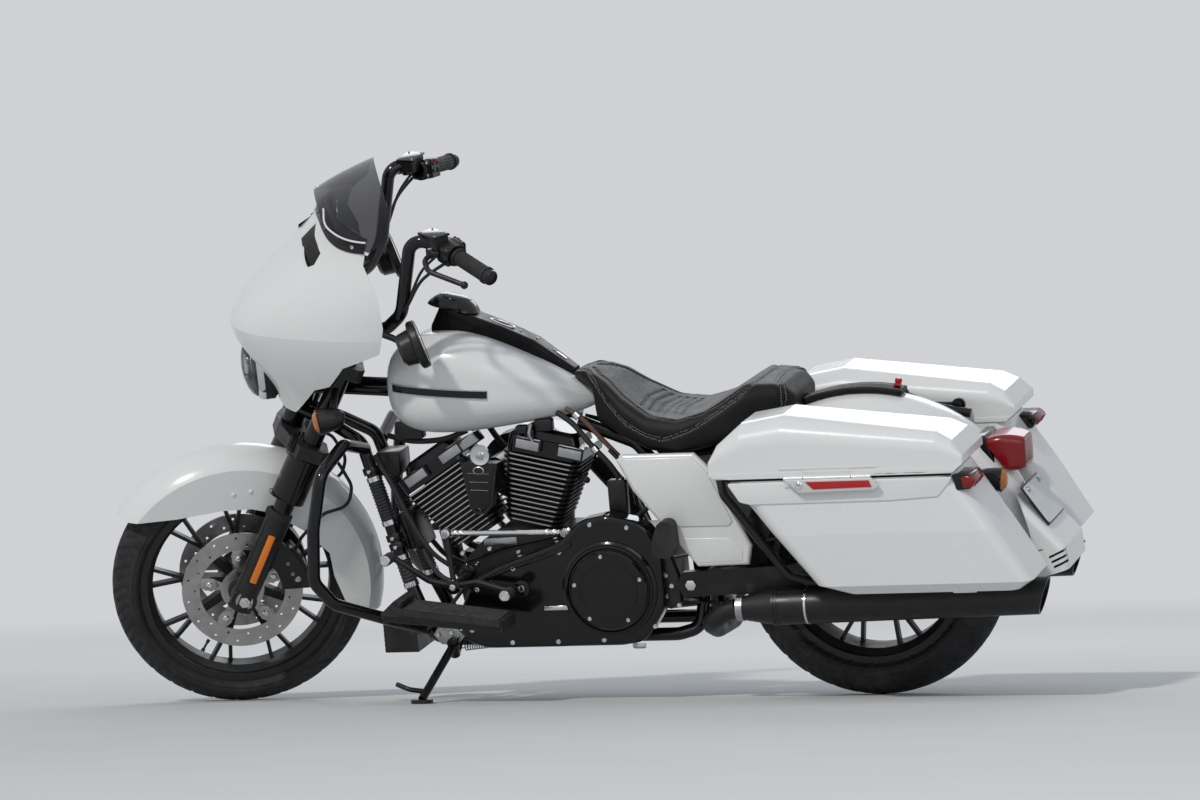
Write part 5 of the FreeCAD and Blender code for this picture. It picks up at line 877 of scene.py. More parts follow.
engine.turned(cap((-4, 25), (0, 26), (3, 24), (1.6, 20), (1.6, 12), (4, 10), (9, 9)), CHROME, HORN_NUT, Y, 36)
engine.nut(8, 6, STEEL, HORN_NUT + Y * 9)
horn = lathe(cap((0, 14), (2, 14), (3, 12), (1.8, 11)))
bmesh.ops.scale(horn, vec=(0.72, 1, 1), verts=horn.verts)
engine.add(horn, STEEL, aim((938, 128, 602), Y))
engine.plate([(976, 618), (898, 612), (917, 517), (932, 501), (954, 501), (963, 516)], 6, BLACK_GLOSS, 124, 3,
             twin=False)
for z in (596, 575, 555):
    engine.add(sweep([(966 - (596 - z) * 0.1, 130, z), (912 + (596 - z) * 0.16, 130, z - 3)], 1.2, sides=6),
               BLACK_SATIN)
for x, z in ((976, 364), (867, 390), (1010, 391), (700, 420), (940, 400), (770, 424)):
    engine.bolt(6.4, CHROME, (x, 88, z))
engine.add(block(17, 84, 3, 1.2), ALLOY, aim((911, 89, 418), Y, (0.03, 0, 1)))
engine.add(sweep([(1000, 92, 372), (900, 92, 402), (760, 92, 430), (690, 92, 430)], 3.4), BLACK_GLOSS)
engine.turned(cap((0, 20), (6, 20), (8, 17)), BLACK_GLOSS, (1002, 88, 344))
CAM = CRANK + Vector((-20, -123.5, 40))
for turn in range(15, 375, 60):
    engine.bolt(5.5, CHROME, CAM + around(turn, 82), -Y)
engine.turned([(0, 66), (0, 70), (3, 70), (4, 68), (3, 66)], BLACK_GLOSS, CAM, -Y, 40)
engine.done()

primary = Fitting("primary_trim", "frame", "black_paint")
for x, z in ((653, 476), (558, 466), (862, 370), (962, 318), (984, 214), (880, 180), (760, 180), (640, 182),
             (505, 214), (500, 330), (738, 408)):
    primary.bolt(6.2, CHROME, Vector((x, 0, z)).lerp(Vector((720, 0, 300)), 0.035) + Y * 175.6)
FILLER = (839, 176, 318)
primary.bolt(10, CHROME, FILLER, Y, 8)
primary.turned(cap((0, 21), (5, 20), (6, 18)), BLACK_GLOSS, FILLER)
CLUTCH = Vector((618, 0, 310))
for x, z in ((711, 328), (630, 392), (542, 334), (679, 231), (573, 236)):
    reach = (Vector((x, 0, z)) - CLUTCH).normalized() * 85
    primary.bolt(5.4, CHROME, CLUTCH + reach + Y * 192.6, Y, 4)
primary.turned([(-1, 74), (1.2, 73), (1.8, 71), (1.2, 69), (-1, 68)], BLACK_GLOSS, CLUTCH + Y * 193, Y, 64)
primary.turned([(-4, 99), (0, 101), (3, 104), (2, 108), (-2, 110)], BLACK_GLOSS, CLUTCH + Y * 184, Y, 64)
ridge = flowing([(952, 176, 330), (880, 177, 362), (800, 178, 388), (735, 178, 409), (706, 178, 425)])
primary.add(sweep(ridge, 5, 3, 8, [Y] * len(ridge)), BLACK_GLOSS)
primary.add(block(70, 12, 7, 3), CHROME, aim((752, 177, 268), Y, X))
primary.turned(cap((0, 17), (9, 17), (12, 14)), STEEL, (560, 160, 172), (0, 0.3, -1), 6)
primary.done()

feet = Fitting("foot_control_trim", "frame", "chrome")
ROD = [Vector((1014, 192, 462)), Vector((725, 152, 449))]
way = (ROD[1] - ROD[0]).normalized()
feet.add(sweep([ROD[0] + way * 14, ROD[0] + way * 120, ROD[1] - way * 14], 6.8, sides=12), CHROME)
for at in (20, 34, 244, 262):
    feet.nut(9.5, 8, CHROME, ROD[0] + way * at, way)
for end in ROD:
    feet.turned(cap((-11, 9), (-8, 12), (8, 12), (11, 9)), CHROME, end + Y * 2, Y, 18)
    feet.bolt(6.5, STEEL, end + Y * 13)
for peg in (Vector((1142, 240, 418)), Vector((850, 236, 324))):
    feet.turned(cap((0, 12.6), (44, 12.6)), RUBBER, peg + Y * 5, Y, 24)
    for at in range(10, 46, 6):
        feet.turned([(-1.3, 12.4), (0, 13.8), (1.3, 12.4)], RUBBER, peg + Y * at, Y, 24)
    feet.turned(cap((0, 13), (3, 13.4), (6, 11), (6, 6.4), (4, 6)), CHROME, peg + Y * 50, Y, 24)
feet.turned(cap((0, 18), (5, 18), (7, 15)), BLACK_GLOSS, (1000, 214, 334))
feet.bolt(8, CHROME, (1000, 221, 334))
for i in range(6):
    feet.add(block(8, 54, 4, 1.6), RUBBER, aim((1126 + i * 11, -261, 401.5), Z, X))
feet.done()

boards = Fitting("footboard_trim", "frame", "rubber")
start, end = Vector((846, 0, 275)), Vector((1094, 0, 310))
along = (end - start).normalized()
rise = along.cross(Y)
for side in SIDES:
    for i in range(9):
        off = Y * side * (246 + i * 11.5) + rise
        boards.add(sweep([start + along * 8 + off, end - along * 4 + off], 3.2, 2.6, 8), RUBBER)
    for y, drop, end_drop, nose_x, nose_z, wide, high, finish in (
            (349, 6, 6, 1118, 320, 3.4, 8, RUBBER), (346, 24, 26, 1140, 290, 3, 5, BLACK_GLOSS)):
        edge = [start + Y * side * y - rise * drop, end + Y * side * y - rise * end_drop, (nose_x, side * y, nose_z)]
        boards.add(sweep(edge, wide, high, 4, [rise] * 3), finish)
boards.done()

stand = Fitting("stand_spring", "frame", "steel")
low, high = Vector((1030, 108, 158)), Vector((920, 106, 168))
place = aim(low, high - low)
stand.add(spring(place, 7, 12, 14, 0.5, 12, 1.5, 6), STEEL)
for hook in ([low, place @ Vector((0, 0, 14))], [place @ Vector((0, 0, 94)), high]):
    stand.add(sweep(hook, 1.5, sides=6), STEEL)
stand.plate([(1092, 196), (1080, 214), (1030, 212), (1012, 190), (1034, 168), (1074, 172)], 5, ZINC, 117.5, 1.4,
            twin=False)
for x, z in ((1080, 196), (1046, 200), (1030, 188)):
    stand.bolt(6.5, CHROME, (x, 122.4, z))
stand.done()

# Frame: grip wraps on the down tubes, clamps, regulator, small hoses and looms
frame_trim = Fitting("frame_trim", "frame", "rubber")
top, foot = Vector((1254, 60, 672)), Vector((1150, 80, 310))
for first, last in ((0.26, 0.56), (0.80, 0.985)):
    a, b = top.lerp(foot, first), top.lerp(foot, last)
    frame_trim.add(sweep([a, b], 17.6, sides=24), RUBBER, twin=True)
    count = int((b - a).length / 8)
    for i in range(count):
        frame_trim.turned([(-2.6, 17.5), (-1.4, 19.2), (1.4, 19.2), (2.6, 17.5)], WRAP,
                          a.lerp(b, (i + 0.5) / count), b - a, 20, True)
    for spot in (a, b):
        frame_trim.turned(hoop(6, 16, 19.6), CHROME, spot, b - a, 24, True)
for share in (0.2, 0.66, 0.72):
    spot = top.lerp(foot, share)
    frame_trim.turned([(-9, 16), (-9, 20.5), (-7, 21.5), (7, 21.5), (9, 20.5), (9, 16)], BLACK_SATIN, spot,
                      foot - top, 24, True)
    frame_trim.bolt(5.4, CHROME, spot + Y * 21, twin=True)
for radius, finish, run in (
        (6, RUBBER, [(1216, 84, 640), (1170, 96, 560), (1128, 100, 470), (1082, 104, 398), (1030, 100, 356)]),
        (7, RUBBER, [(1190, 40, 680), (1120, 60, 668), (1040, 70, 672), (980, 60, 690)]),
        (6, BROWN_HOSE, [(714, 96, 742), (672, 104, 716), (628, 108, 668), (590, 100, 622)]),
        (7, RUBBER, [(742, 80, 730), (700, 92, 702), (656, 100, 650), (612, 96, 596), (584, 88, 540)]),
        (5, BLACK_GLOSS, [(610, 110, 640), (580, 112, 604), (562, 104, 560), (556, 92, 500)]),
        (6, RUBBER, [(560, 98, 470), (520, 104, 500), (492, 100, 540), (470, 96, 580)]),
        (5, RUBBER, [(1156, 104, 196), (1100, 120, 214), (1048, 118, 262), (1010, 110, 306)]),
        (5, STEEL, [(806, 94, 706), (812, 96, 682), (806, 90, 664)]),
        (8, RUBBER, [(990, -96, 700), (960, -110, 640), (936, -112, 610)]),
        (6.5, RUBBER, [(1128, 40, 400), (1104, 60, 360), (1066, 84, 330), (1020, 92, 316)]),
        (6.5, RUBBER, [(1128, -40, 400), (1104, -60, 360), (1066, -84, 330), (1020, -92, 316)])):
    frame_trim.add(sweep(flowing(run), radius, sides=10), finish)
for spot, way in (((686, 104, 726), (-0.7, 0, -0.7)), ((648, 100, 640), (-0.6, 0, -0.8)),
                  ((590, 96, 560), (-0.4, 0, -0.9))):
    frame_trim.turned(hoop(7, 8, 10), CHROME, spot, way, 18)
for spot, size in (((1120, 74, 700), (70, 36, 44)), ((780, 70, 700), (44, 30, 30)), ((836, 72, 690), (30, 26, 22)),
                   ((600, 96, 520), (46, 30, 90)), ((1196, 0, 610), (60, 90, 60))):
    frame_trim.add(block(*size, 5, 2), BLACK_SATIN, shift(*spot))
for x, z in ((509, 395), (491, 369), (484, 336), (487, 285), (470, 310), (455, 262)):
    frame_trim.bolt(7, CHROME, (x, 150, z))
frame_trim.plate([(500, 410), (474, 400), (452, 330), (450, 262), (480, 250), (506, 280)], 28, CAST, 121, 5,
                 twin=False)
for z in range(149, 210, 12):
    frame_trim.add(block(3, 140, 3.4, 1), CAST, shift(1237.5, 0, z))
regulator = shift(1144, 0, 446) @ Matrix.Rotation(math.radians(16), 4, "Y")
frame_trim.add(block(24, 108, 100, 5, 3), BLACK_SATIN, regulator)
for y in range(-48, 49, 12):
    frame_trim.add(block(16, 4, 94, 1.2), BLACK_SATIN, regulator @ shift(18, y, 0))
frame_trim.done()

# Rear wheel, shocks, exhaust
rear_hub = Fitting("rear_hub_trim", "rear_wheel", "cast_black")
for i in range(5):
    reach = around(90 + 72 * i)
    rear_hub.bolt(8, STEEL, REAR_AXLE + reach * 46 + Y * 115.4, Y, 6)
    rear_hub.bolt(8, STEEL, REAR_AXLE + reach * 84 - Y * 94.4, -Y, 5)
    # flat dark discs in the hub's holes: painted shade
    rear_hub.turned(cap((0, 15), (0.6, 15)), PAINTED_SHADE, REAR_AXLE + reach * 78 + Y * 115.2, Y, 24)
rear_hub.turned([(0, 104), (0, 108), (1, 108), (1, 104)], CAST, REAR_AXLE + Y * 115, Y, 64)
PULLEY_TEETH = 70
for i in range(PULLEY_TEETH):
    reach = around(i * 360 / PULLEY_TEETH)
    rear_hub.add(block(24, 4.4, 3, 0.8, 1), CAST, aim(REAR_AXLE + reach * 111.2 + Y * 102.5, reach, Y))
rear_hub.done()

chassis = Fitting("chassis_trim", "frame", "black_satin")
low, high = Vector((70, 170, 345)), Vector((196, 170, 588))
chassis.add(spring(aim(low, high - low), 25, 40, 9, 1.32, 16, 4, 8), BLACK_GLOSS, twin=True)
muffler_way = Vector((-764, 0, 14)).normalized()
for side in SIDES:
    out = Y * side
    chassis.nut(19, 9, CHROME, REAR_AXLE + out * 156, out)
    chassis.nut(14, 8, CHROME, (420, side * 156, 312), out)
    for end in (low, high):
        chassis.nut(9, 6, CHROME, (end.x, side * 183, end.z), out)
    start = Vector((290, side * 212, 264))
    for at, wide, finish in ((90, 45.4, EXHAUST), (98, 45.4, EXHAUST), (170, 45.2, CHROME)):
        chassis.turned([(-3, 43.5), (-2.6, wide), (2.6, wide), (3, 43.5)], finish, start + muffler_way * at,
                       muffler_way, 48)
    chassis.turned(hoop(8, 26, 31), STEEL, start + muffler_way * 4, muffler_way, 32)
    # a dark band inside each muffler's end: painted shade in the tailpipe
    chassis.turned([(640, 36), (700, 36), (700, 38.6), (640, 38.6), (640, 36)], PAINTED_SHADE, start, muffler_way, 40)
    chassis.add(block(56, 4, 5, 1), CHROME, shift(-300, side * 380, 327.5))
for spot in ((1098, -104, 548), (736, -104, 590)):
    chassis.turned(hoop(6, 24, 32), CHROME, spot, -Y, 32)
for run in ([(1128, -190, 436), (1122, -200, 330), (1052, -209, 222), (960, -209, 208)],
            [(650, -200, 460), (606, -208, 340), (566, -208, 240)]):
    run = flowing(run)
    chassis.add(sweep(run, 18, 6, 10, [Vector((0.4, -1, 0.3))] * len(run)), EXHAUST)
chassis.turned(cap((0, 84.5), (3, 84.5), (10, 78), (13, 60)), BLACK_GLOSS, (930, -206, 560), -Y, 48)
chassis.turned([(0, 30), (0, 34), (2, 34), (3, 32), (2, 30)], CHROME, (930, -218.5, 560), -Y, 48)
for turn in (90, 210, 330):
    chassis.bolt(6, CHROME, Vector((930, 0, 560)) + around(turn, 48, -218.6), -Y)
chassis.done()

# Upholstery: soft copies of the seat and the fender strap

def soft_copy(name, voxel, rounds):
    """The CAD solid remeshed finely and smoothed, in the bike's millimetres."""
    mesh = nodes[name].data.copy()
    merged = bmesh.new()
    merged.from_mesh(mesh)
    bmesh.ops.remove_doubles(merged, verts=merged.verts, dist=1e-5)
    merged.to_mesh(mesh)
    merged.free()
    holder = in_scene("soft", mesh)
    remesh = holder.modifiers.new("remesh", "REMESH")
    remesh.mode = "VOXEL"
    remesh.voxel_size = voxel
    smooth = holder.modifiers.new("smooth", "SMOOTH")
    smooth.factor = 0.5
    smooth.iterations = rounds
    result = bmesh.new()
    result.from_object(holder, bpy.context.evaluated_depsgraph_get())
    bpy.data.objects.remove(holder)
    bmesh.ops.transform(result, matrix=BIKE.inverted(), verts=result.verts)
    return result


def pressed(part, runs, width, depth):
    """Presses a soft channel into the part along each run of points."""
    spots = [spot for run in runs for spot in run]
    near = KDTree(len(spots))
    for i, spot in enumerate(spots):
        near.insert(spot, i)
    near.balance()
    part.normal_update()
    moves = []
    for vert in part.verts:
        distance = near.find(vert.co)[2]
        if distance < width:
            share = math.cos(distance / width * math.pi / 2) ** 2
            moves.append((vert, vert.normal * depth * share))
    for vert, move in moves:
        vert.co -= move


def stitched(piece, run, ups, side, finish, length=4.6, gap=2.4, size=0.95):
    """Stitches beside a seam; side is the offset across it."""
    spots = []
    for i, spot in enumerate(run):
        way = (run[min(i + 1, len(run) - 1)] - run[max(i - 1, 0)]).normalized()
        spots.append(spot + ups[i].cross(way) * side + ups[i] * 0.4)
    due, walked = 0.0, 0.0
    for a, b in zip(spots, spots[1:]):
        span = (b - a).length
        at = due - walked
        while at < span:
            first = a.lerp(b, at / span)
            piece.add(sweep([first, first + (b - a).normalized() * length], size, size, 5), finish)
            due += length + gap
            at = due - walked
        walked += span


SEAMS = {
    "outer": [(690, 24, 826), (664, 60, 822), (641, 101, 816), (624, 118, 789), (601, 135, 762), (573, 153, 735),
              (545, 167, 711), (513, 178, 694), (482, 187, 682), (450, 190, 674)],
    "rear": [(450, 190, 674), (414, 191, 685), (374, 188, 700), (335, 180, 723), (295, 171, 747), (263, 163, 768),
             (240, 140, 786), (232, 96, 792), (230, 40, 794), (230, 0, 794)],
    "inner": [(656, 22, 829), (632, 60, 820), (615, 75, 811), (580, 101, 785), (546, 122, 760), (506, 142, 736),
              (463, 162, 720), (421, 172, 716), (387, 172, 720), (354, 170, 730), (315, 164, 748), (282, 156, 766),
              (256, 140, 782)],
    "bolster": [(197, 0, 791), (196, 20, 791), (194, 43, 790), (186, 90, 788), (170, 128, 778), (166, 138, 748),
                (174, 138, 719)],
    "bolster_rear": [(187, 0, 790), (186, 20, 790), (184, 41, 789), (176, 84, 784), (160, 116, 774),
                     (158, 128, 746), (164, 128, 716)],
}
CHANNELS = [530, 511, 492, 473, 454, 435]
seat_part = soft_copy("seat", 0.0045, 14)


def on_seat(tree, points):
    """The points set on the cushion, with its normals."""
    found = [tree.find_nearest(point) for point in points]
    return [place[0] for place in found], [place[1] for place in found]


tree = BVHTree.FromBMesh(seat_part)
welts = [on_seat(tree, flowing(points, 10))[0] for points in SEAMS.values()]
across = []
for x in CHANNELS:
    tops = [tree.ray_cast(Vector((x - abs(y) * 0.09, y, 900)), -Z)[0] for y in range(-105, 106, 7)]
    across.append([top for top in tops if top])
pressed(seat_part, welts + [[MIRROR @ spot for spot in run] for run in welts], 9, 3.4)
pressed(seat_part, across, 7.5, 3.4)
for vert in seat_part.verts:
    swell = math.sin(vert.co.x * 0.043) * math.sin(vert.co.z * 0.06 + vert.co.y * 0.021)
    vert.co += vert.normal * swell * 0.5
tree = BVHTree.FromBMesh(seat_part)
seat = Fitting("seat_cushion", "frame", "leather")
seat.add(seat_part, LEATHER)
for name, points in SEAMS.items():
    run, ups = on_seat(tree, flowing(points, 10))
    for side in ((3.2, -3.2) if name in ("outer", "rear") else (2.6,)):
        stitched(seat, run, ups, side, THREAD)
        stitched(seat, [MIRROR @ spot for spot in run], [MIRROR @ up for up in ups], -side, THREAD)
for points in across:
    stitched(seat, *on_seat(tree, points), 2.4, THREAD)
cushion = seat.done(replaced=["seat"], sharp=70)


def off_axle(spot):
    """From the rear axle to the spot, in the side view."""
    return Vector((spot.x, 0, spot.z)) - REAR_AXLE


STRAP_RADIUS, STRAP_CROWN = 436, 22
strap_part = soft_copy("fender_strap", 0.003, 4)
strap_tree = BVHTree.FromBMesh(strap_part)
edges = [[strap_tree.find_nearest(REAR_AXLE + around(71 + i * 0.82, STRAP_RADIUS, y))[0] for i in range(40)]
         for y in (-27, 27)]
pressed(strap_part, edges, 5, 1.6)
for vert in strap_part.verts:
    reach = off_axle(vert.co)
    if reach.length > STRAP_RADIUS - 12 and abs(vert.co.y) < STRAP_CROWN:
        vert.co += reach.normalized() * 3.2 * math.cos(vert.co.y / STRAP_CROWN * math.pi / 2)
strap = Fitting("fender_strap_pad", "frame", "leather")
strap.add(strap_part, LEATHER)
for run in edges:
    stitched(strap, run, [off_axle(spot).normalized() for spot in run], 0, PALE_THREAD, 4.4, 2.6, 0.9)
pad = strap.done(replaced=["fender_strap"], sharp=70)

tag = Fitting("strap_end_tag", "frame", "rubber")
tag.add(block(16, 22, 6, 2), RED_REFLECTOR, aim((-88, 4, 757), (-0.2, 0, 1), X))
tag.turned(cap((0, 8), (8, 9), (12, 6)), RED_REFLECTOR, (-90, 4, 760), (-0.2, 0, 1), 20)
tag.done()

# Saddlebags: latch plates, reflectors, locks, raised bands and lid lips
bags = Fitting("bag_trim", "frame", "plastic")
for outline, depth, finish, y, bevel, segments in (
        ([(96, 616), (62, 584), (-118, 587), (-130, 596), (-112, 616)], 8, BAG_TRIM, 437, 2.6, 3),
        ([(46, 611), (28, 593), (-112, 595), (-106, 611)], 2.4, RED_REFLECTOR, 444.4, 0.8, 2),
        ([(238, 604), (212, 563), (186, 556), (-150, 557), (-262, 563), (-294, 598), (-298, 609), (236, 609)],
         7, WHITE, 420.6, 3.4, 4),
        ([(-296, 612), (-342, 612), (-352, 598), (-340, 578), (-306, 575)], 100, BLACK_GLOSS, 322, 4, 2),
        ([(-318, 609), (-344, 609), (-355, 597), (-344, 582), (-322, 580)], 92, RED, 334, 4, 2)):
    bags.plate(outline, depth, finish, y, bevel, segments)
bags.turned(cap((0, 9), (1.6, 9), (2.6, 7.4), (2.2, 4.6), (1, 4.2)), CHROME, (62, 444.6, 603), twin=True)
# a dark slot in each lock: painted shade in the keyhole
bags.add(block(1.4, 5, 1.4, 0.3, 1), PAINTED_SHADE, aim((62, 445.8, 603), Y), twin=True)
# a dark strip along the gap under each lid: painted shade in the gap
bags.add(sweep([(246, 422, 615.4), (-296, 422, 615.4)], 2.2, 3.4, 4), PAINTED_SHADE, twin=True)
for y in range(340, 413, 12):
    bags.add(sweep([(-356.2, y, 597), (-346, y, 582)], 0.9, sides=4), RED, twin=True)
bags.add(block(120, 4, 20, 1.4), BLACK_SATIN, shift(-120, 196, 560), twin=True)
for x, z in ((-59, 703), (-196, 672)):
    bags.turned(cap((0, 16), (3, 17), (9, 17), (12, 14), (12, 8), (9, 7)), BLACK_GLOSS, (x, 157, z), twin=True)
    bags.bolt(7, CHROME, (x, 166, z), Y, 5, True)
rail = flowing([(-62, 166, 701), (-90, 166, 690), (-128, 166, 674), (-164, 166, 670), (-194, 166, 671)], 5)
bags.add(sweep(rail, 5, 9), BLACK_GLOSS, twin=True)
bags.done()

RIM_LOW, RIM_HIGH = 622, 632
for side, name, flip in ((1, "left", Matrix()), (-1, "right", MIRROR)):
    lid = Fitting(name + "_lid_trim", name + "_lid", "plastic")
    lip = [(-300, 429.4, 621.6), (-240, 430.8, 621.6), (230, 430.8, 621.6), (262, 429.4, 624)]
    lid.add(sweep(lip, 2.6, 1.4, 4, [Y] * 4), WHITE, flip)
    rim = node_copy(name + "_bag_lid")
    sliced(rim, (0, 0, RIM_HIGH), Z)
    sliced(rim, (0, 0, RIM_LOW), -Z)
    middle = Vector((-30, 312 * side, 0))
    bmesh.ops.delete(rim, geom=[face for face in rim.faces if abs(face.normal.z) > 0.6
                                or face.normal.dot(face.calc_center_median() - middle) < 0], context="FACES")
    rim.normal_update()
    moves = [(vert, Vector((vert.normal.x, vert.normal.y, 0)).normalized() * 2.2) for vert in rim.verts]
    for vert, move in moves:
        vert.co += move
    bmesh.ops.solidify(rim, geom=rim.faces[:], thickness=2.4)
    lid.add(rim, WHITE)
    lid.add(sweep([(-122, 431.2, 640), (110, 431.2, 640)], 1, 1.2, 4), WHITE, flip)
    lid.done()

# Tail: the lamps cut into lens and housing, bezels, and seams and louvres drawn as strips of painted shade
lamps = Fitting("rear_lamp_set", "frame", "red_lens")
whole = node_copy("rear_lamps")
for middle, ahead, finish in ((True, True, RED), (True, False, BLACK_GLOSS), (False, False, BLACK_GLOSS)):
    part = whole.copy()
    gone = [vert for vert in part.verts if (abs(vert.co.y) < 80) != middle]
    bmesh.ops.delete(part, geom=gone, context="VERTS")
    if middle:
        sliced(part, (-311, 0, 601), (-1, 0, 0.31), ahead)
        bmesh.ops.holes_fill(part, edges=[edge for edge in part.edges if edge.is_boundary])
        if not ahead:
            bmesh.ops.scale(part, vec=(1, 1.015, 1.02), verts=part.verts, space=shift(0, 0, -590))
    lamps.add(part, finish)
whole.free()
lamps.plate([(-280, 635), (-303, 635.5), (-324, 567), (-314, 564), (-296, 590)], 128, BLACK_GLOSS, -64, 4, 3, False)
for z in range(562, 619, 7):
    lamps.add(sweep([(-394.6, -46, z), (-394.6, 46, z)], 0.9, 0.9, 4), RED)
for side in SIDES:
    at, way = (-330, side * 152, 548), (-1, 0, -0.1)
    lamps.turned([(along, radius * 0.88) for along, radius in SIGNAL_LENS], AMBER, at, way)
    lamps.turned([(24, 28), (25, 29.6), (28, 29.6), (29, 27)], BLACK_GLOSS, at, way)
    for radius in (8, 14, 20):
        lamps.turned([(33, radius - 1), (41.5 - radius * 0.28, radius), (33, radius + 1)], AMBER, at, way)
lamps.done(replaced=["rear_lamps"])

tail = Fitting("tail_trim", "frame", "white_paint")
# the seam line and the louvre slots are dark strips: painted shade in the seam and the slots
seam = [(-388, 119.2, 362), (-404, 119.2, 363), (-420, 119.2, 364.5), (-436, 119.1, 368)]
tail.add(sweep(seam, 1.2, sides=6), PAINTED_SHADE, twin=True)
for x, z in ((-449, 345), (-454, 333), (-459, 321)):
    tail.plate([(x - 2, z + 1.5), (x - 34, z + 15), (x - 34, z + 20), (x - 2, z + 6)], 4, PAINTED_SHADE, 106)
tail.done()

# The blank plate lies along the fender's slope on its holder
SLOPE = math.radians(34)
PLATE_WAY = Vector((-math.cos(SLOPE), 0, math.sin(SLOPE)))
PLATE_AT = aim((-422, 0, 469), PLATE_WAY)
sheet = bmesh.new()
bmesh.ops.create_grid(sheet, x_segments=1, y_segments=1, size=0.5)
bmesh.ops.scale(sheet, vec=(104, 180, 1), verts=sheet.verts)
bmesh.ops.bevel(sheet, geom=sheet.verts[:], offset=11, segments=5, profile=0.5, affect="VERTICES", material=-1)
bmesh.ops.solidify(sheet, geom=sheet.faces[:], thickness=1.6)
plate = Fitting("blank_plate", "frame", "plate")
plate.add(sheet, PLATE, PLATE_AT)
for x in (49.47, -49.47):
    plate.add(block(2.4, 150, 2.6, 1), PLATE, PLATE_AT @ shift(x, 0, 0.6))
plate.add(block(112, 186, 4, 1.8), BLACK_SATIN, PLATE_AT @ shift(0, 0, -4.4))
for y in (-62, 62):
    plate.add(lathe(cap((0, 8), (1, 7.6)), 24), STEEL, PLATE_AT @ shift(40, y, 1))
    plate.add(screw(4.6, 3.4), STEEL, PLATE_AT @ shift(40, y, 2))
plate.add(block(28, 52, 24, 5), BLACK_SATIN, shift(-383, 0, 489))
plate.add(block(8, 40, 10, 2), BLACK_SATIN, shift(-435, 0, 438))
plate.done(replaced=["number_plate"])

# Side covers, tank strip, console
covers = Fitting("side_cover_faces", "frame", "white_paint")
covers.plate([(560, 620), (548, 634), (384, 633), (345, 594), (292, 474), (302, 462), (458, 463), (530, 558)],
             6.4, WHITE, 196.6, 4, 4)
covers.plate([(440, 436), (300, 434), (272, 402), (276, 376), (382, 374)], 4, WHITE, 197.4, 2.2, 3)
covers.done()

tank_trim = Fitting("tank_strip", "frame", "black_paint")
tank = surface("tank")
run = [(1140 - i * 10.2, 300, 812 - i * 0.92) for i in range(25)]
tank_trim.strip(tank, run, -Y, 0.8, 9.5, 1.8, BLACK_GLOSS)
for lift in (9.6, -9.6):
    tank_trim.strip(tank, [(x, y, z + lift) for x, y, z in run], -Y, 1.6, 1.1, 1.6, STEEL)
tank_trim.done()

console = Fitting("console_trim", "frame", "black_paint")
deck = surface("console")
oval = lathe([(0, 26), (1.4, 28), (2.4, 30), (1.4, 32), (0, 34)], 40)
bmesh.ops.scale(oval, vec=(1, 0.5, 1), verts=oval.verts)
for part, finish, x, lift in (
        (oval, CHROME, 884, 0.4), (lathe(cap((0, 13), (3, 13), (4, 10))), BLACK_GLOSS, 884, 0.6),
        (block(30, 9, 3, 1.2), CHROME, 742, 0.8), *((screw(3.6, 2), STEEL, x, 0) for x in (840, 800, 760))):
    console.add(part, finish, flat_on(deck, (x, 0, 1000), -Z, lift))
console.done()

door = Fitting("fuel_door_trim", "fuel_door", "black_paint")
front, back = Vector((1058, 0, 999)), Vector((952, 0, 972))
up = (front - back).cross(Y).normalized()
dome = lathe([(-6, 52), (-3, 50), (0, 42), (2.6, 26), (3.4, 0)], 48)
bmesh.ops.scale(dome, vec=(0.62, 0.82, 1), verts=dome.verts)
door.add(dome, BLACK_GLOSS, aim((front + back) / 2 + up * 29.6, up, Y))
door.done()

# Stage: pale floor and backdrop, soft studio light and the photograph's camera

BACKDROP = (0.63, 0.64, 0.66)


def shown(tree):
    """1 for the rays that see a background: camera, glossy and transmission."""
    rays = tree.nodes.new("ShaderNodeLightPath").outputs
    shows = rays["Is Camera Ray"]
    for name in ("Is Glossy Ray", "Is Transmission Ray"):
        either = tree.nodes.new("ShaderNodeMath")
        either.operation = "MAXIMUM"
        tree.links.new(shows, either.inputs[0])
        tree.links.new(rays[name], either.inputs[1])
        shows = either.outputs["Value"]
    return shows


def stage():
    """A pale floor that shows the backdrop's colour further out and keeps the object's shadow."""
    floor_mesh = bmesh.new()
    bmesh.ops.create_grid(floor_mesh, x_segments=1, y_segments=1, size=30)
    bmesh.ops.translate(floor_mesh, vec=(0, 0, -0.0005), verts=floor_mesh.verts)
    mesh = bpy.data.meshes.new("floor")
    floor_mesh.to_mesh(mesh)
    floor_mesh.free()
    floor = in_scene("floor", mesh)
    finish = Finish("pale_floor", (0.64, 0.64, 0.63), 0.8)
    where = finish.place(Matrix.Scale(MM, 4))
    finish.colour(finish.tint(finish.noise(where, 0.003, 4), (0.63, 0.63, 0.62), (0.65, 0.65, 0.64), 0.3, 0.7))
    far = finish.node("ShaderNodeVectorMath", operation="LENGTH")
    finish.link(finish.node("ShaderNodeTexCoord").outputs["Object"], far.inputs[0])
    glow = finish.node("ShaderNodeEmission")
    finish.set(glow, Color=(*BACKDROP, 1), Strength=1.0)
    fade = finish.node("ShaderNodeMixShader")
    finish.link(finish.ramp(far.outputs["Value"], 0.0, 1.0, 2.2, 9.0), fade.inputs["Fac"])
    finish.link(finish.shader.outputs["BSDF"], fade.inputs[1])
    finish.link(glow.outputs["Emission"], fade.inputs[2])
    finish.link(fade.outputs["Shader"], finish.tree.nodes["Material Output"].inputs["Surface"])
    mesh.materials.append(finish.material)


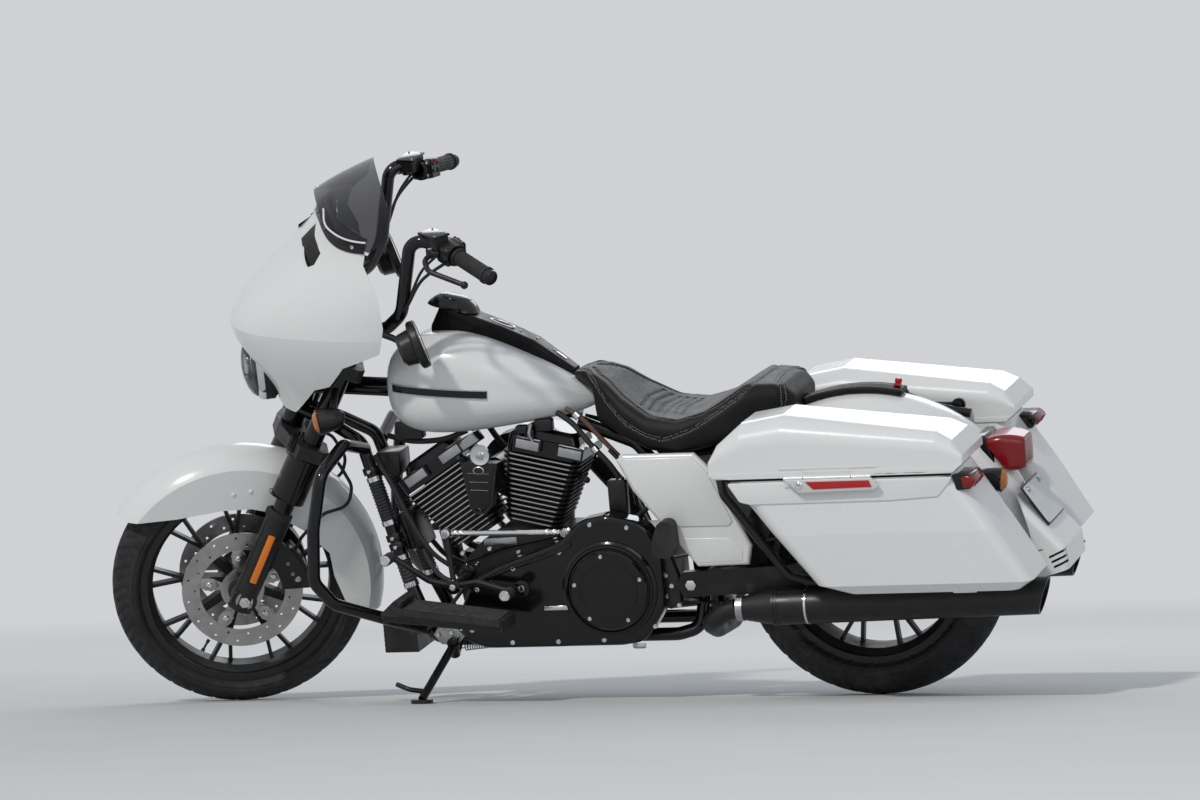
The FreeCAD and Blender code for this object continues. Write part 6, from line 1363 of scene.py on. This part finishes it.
def world():
    world = bpy.data.worlds.new("studio")
    bpy.context.scene.world = world
    world.use_nodes = True
    tree = world.node_tree
    sky, plain = tree.nodes["Background"], tree.nodes.new("ShaderNodeBackground")
    Finish.set(sky, Color=(0.80, 0.88, 0.98, 1), Strength=0.42)
    Finish.set(plain, Color=(*BACKDROP, 1), Strength=1.0)
    mix = tree.nodes.new("ShaderNodeMixShader")
    tree.links.new(shown(tree), mix.inputs["Fac"])
    tree.links.new(sky.outputs["Background"], mix.inputs[1])
    tree.links.new(plain.outputs["Background"], mix.inputs[2])
    tree.links.new(mix.outputs["Shader"], tree.nodes["World Output"].inputs["Surface"])


def light(name, kind, energy, colour, position, way, **settings):
    """A lamp that shines along way."""
    data = bpy.data.lights.new(name, kind)
    data.energy = energy
    data.color = colour
    for setting, value in settings.items():
        setattr(data, setting, value)
    lamp = in_scene(name, data)
    lamp.location = position
    lamp.rotation_euler = Vector(way).to_track_quat("-Z", "Y").to_euler()


def sky_panel(name, position, target, size, watts, colour):
    way = Vector(target) - Vector(position)
    light(name, "AREA", watts, colour, position, way, shape="RECTANGLE", size=size[0], size_y=size[1])


SUN_WAY = Vector((0.245, 0.58, 0.777))  # towards the sun, from the shadows on the tank

# Camera of the photograph, measured from the bike's own stand: it is 12.9 m away with a long lens
CAMERA_PLACE = Vector((-3.68399, 12.47956, 0.53993))
CAMERA_LOOK = Vector((0.27956788, -0.96001934, 0.01430617))
CAMERA_UP = Vector((-0.0256612, 0.00742383, 0.99964313))
LENS = 160.23


def camera():
    data = bpy.data.cameras.new("photo_camera")
    data.sensor_width = 36
    data.lens = LENS
    data.clip_start = 0.1
    data.clip_end = 200
    body = in_scene("photo_camera", data)
    back = -CAMERA_LOOK.normalized()
    right = CAMERA_UP.cross(back).normalized()
    turn = Matrix((right, back.cross(right), back)).transposed().to_4x4()
    body.matrix_world = Matrix.Translation(CAMERA_PLACE) @ turn
    bpy.context.scene.camera = body


bpy.context.scene.view_settings.view_transform = "Standard"
stage()
world()
light("sun", "SUN", 1.35, (1, 0.975, 0.94), (0, 0, 0), -(BIKE.to_3x3() @ SUN_WAY), angle=math.radians(4))
sky_panel("sky_left", (-3.5, 5.5, 3.0), (0, 0, 0.5), (5, 3), 50, (0.90, 0.95, 1))
sky_panel("sky_right", (0.5, -4.5, 3.6), (0, 0, 0.6), (4, 2), 60, (0.94, 0.97, 1))
camera()
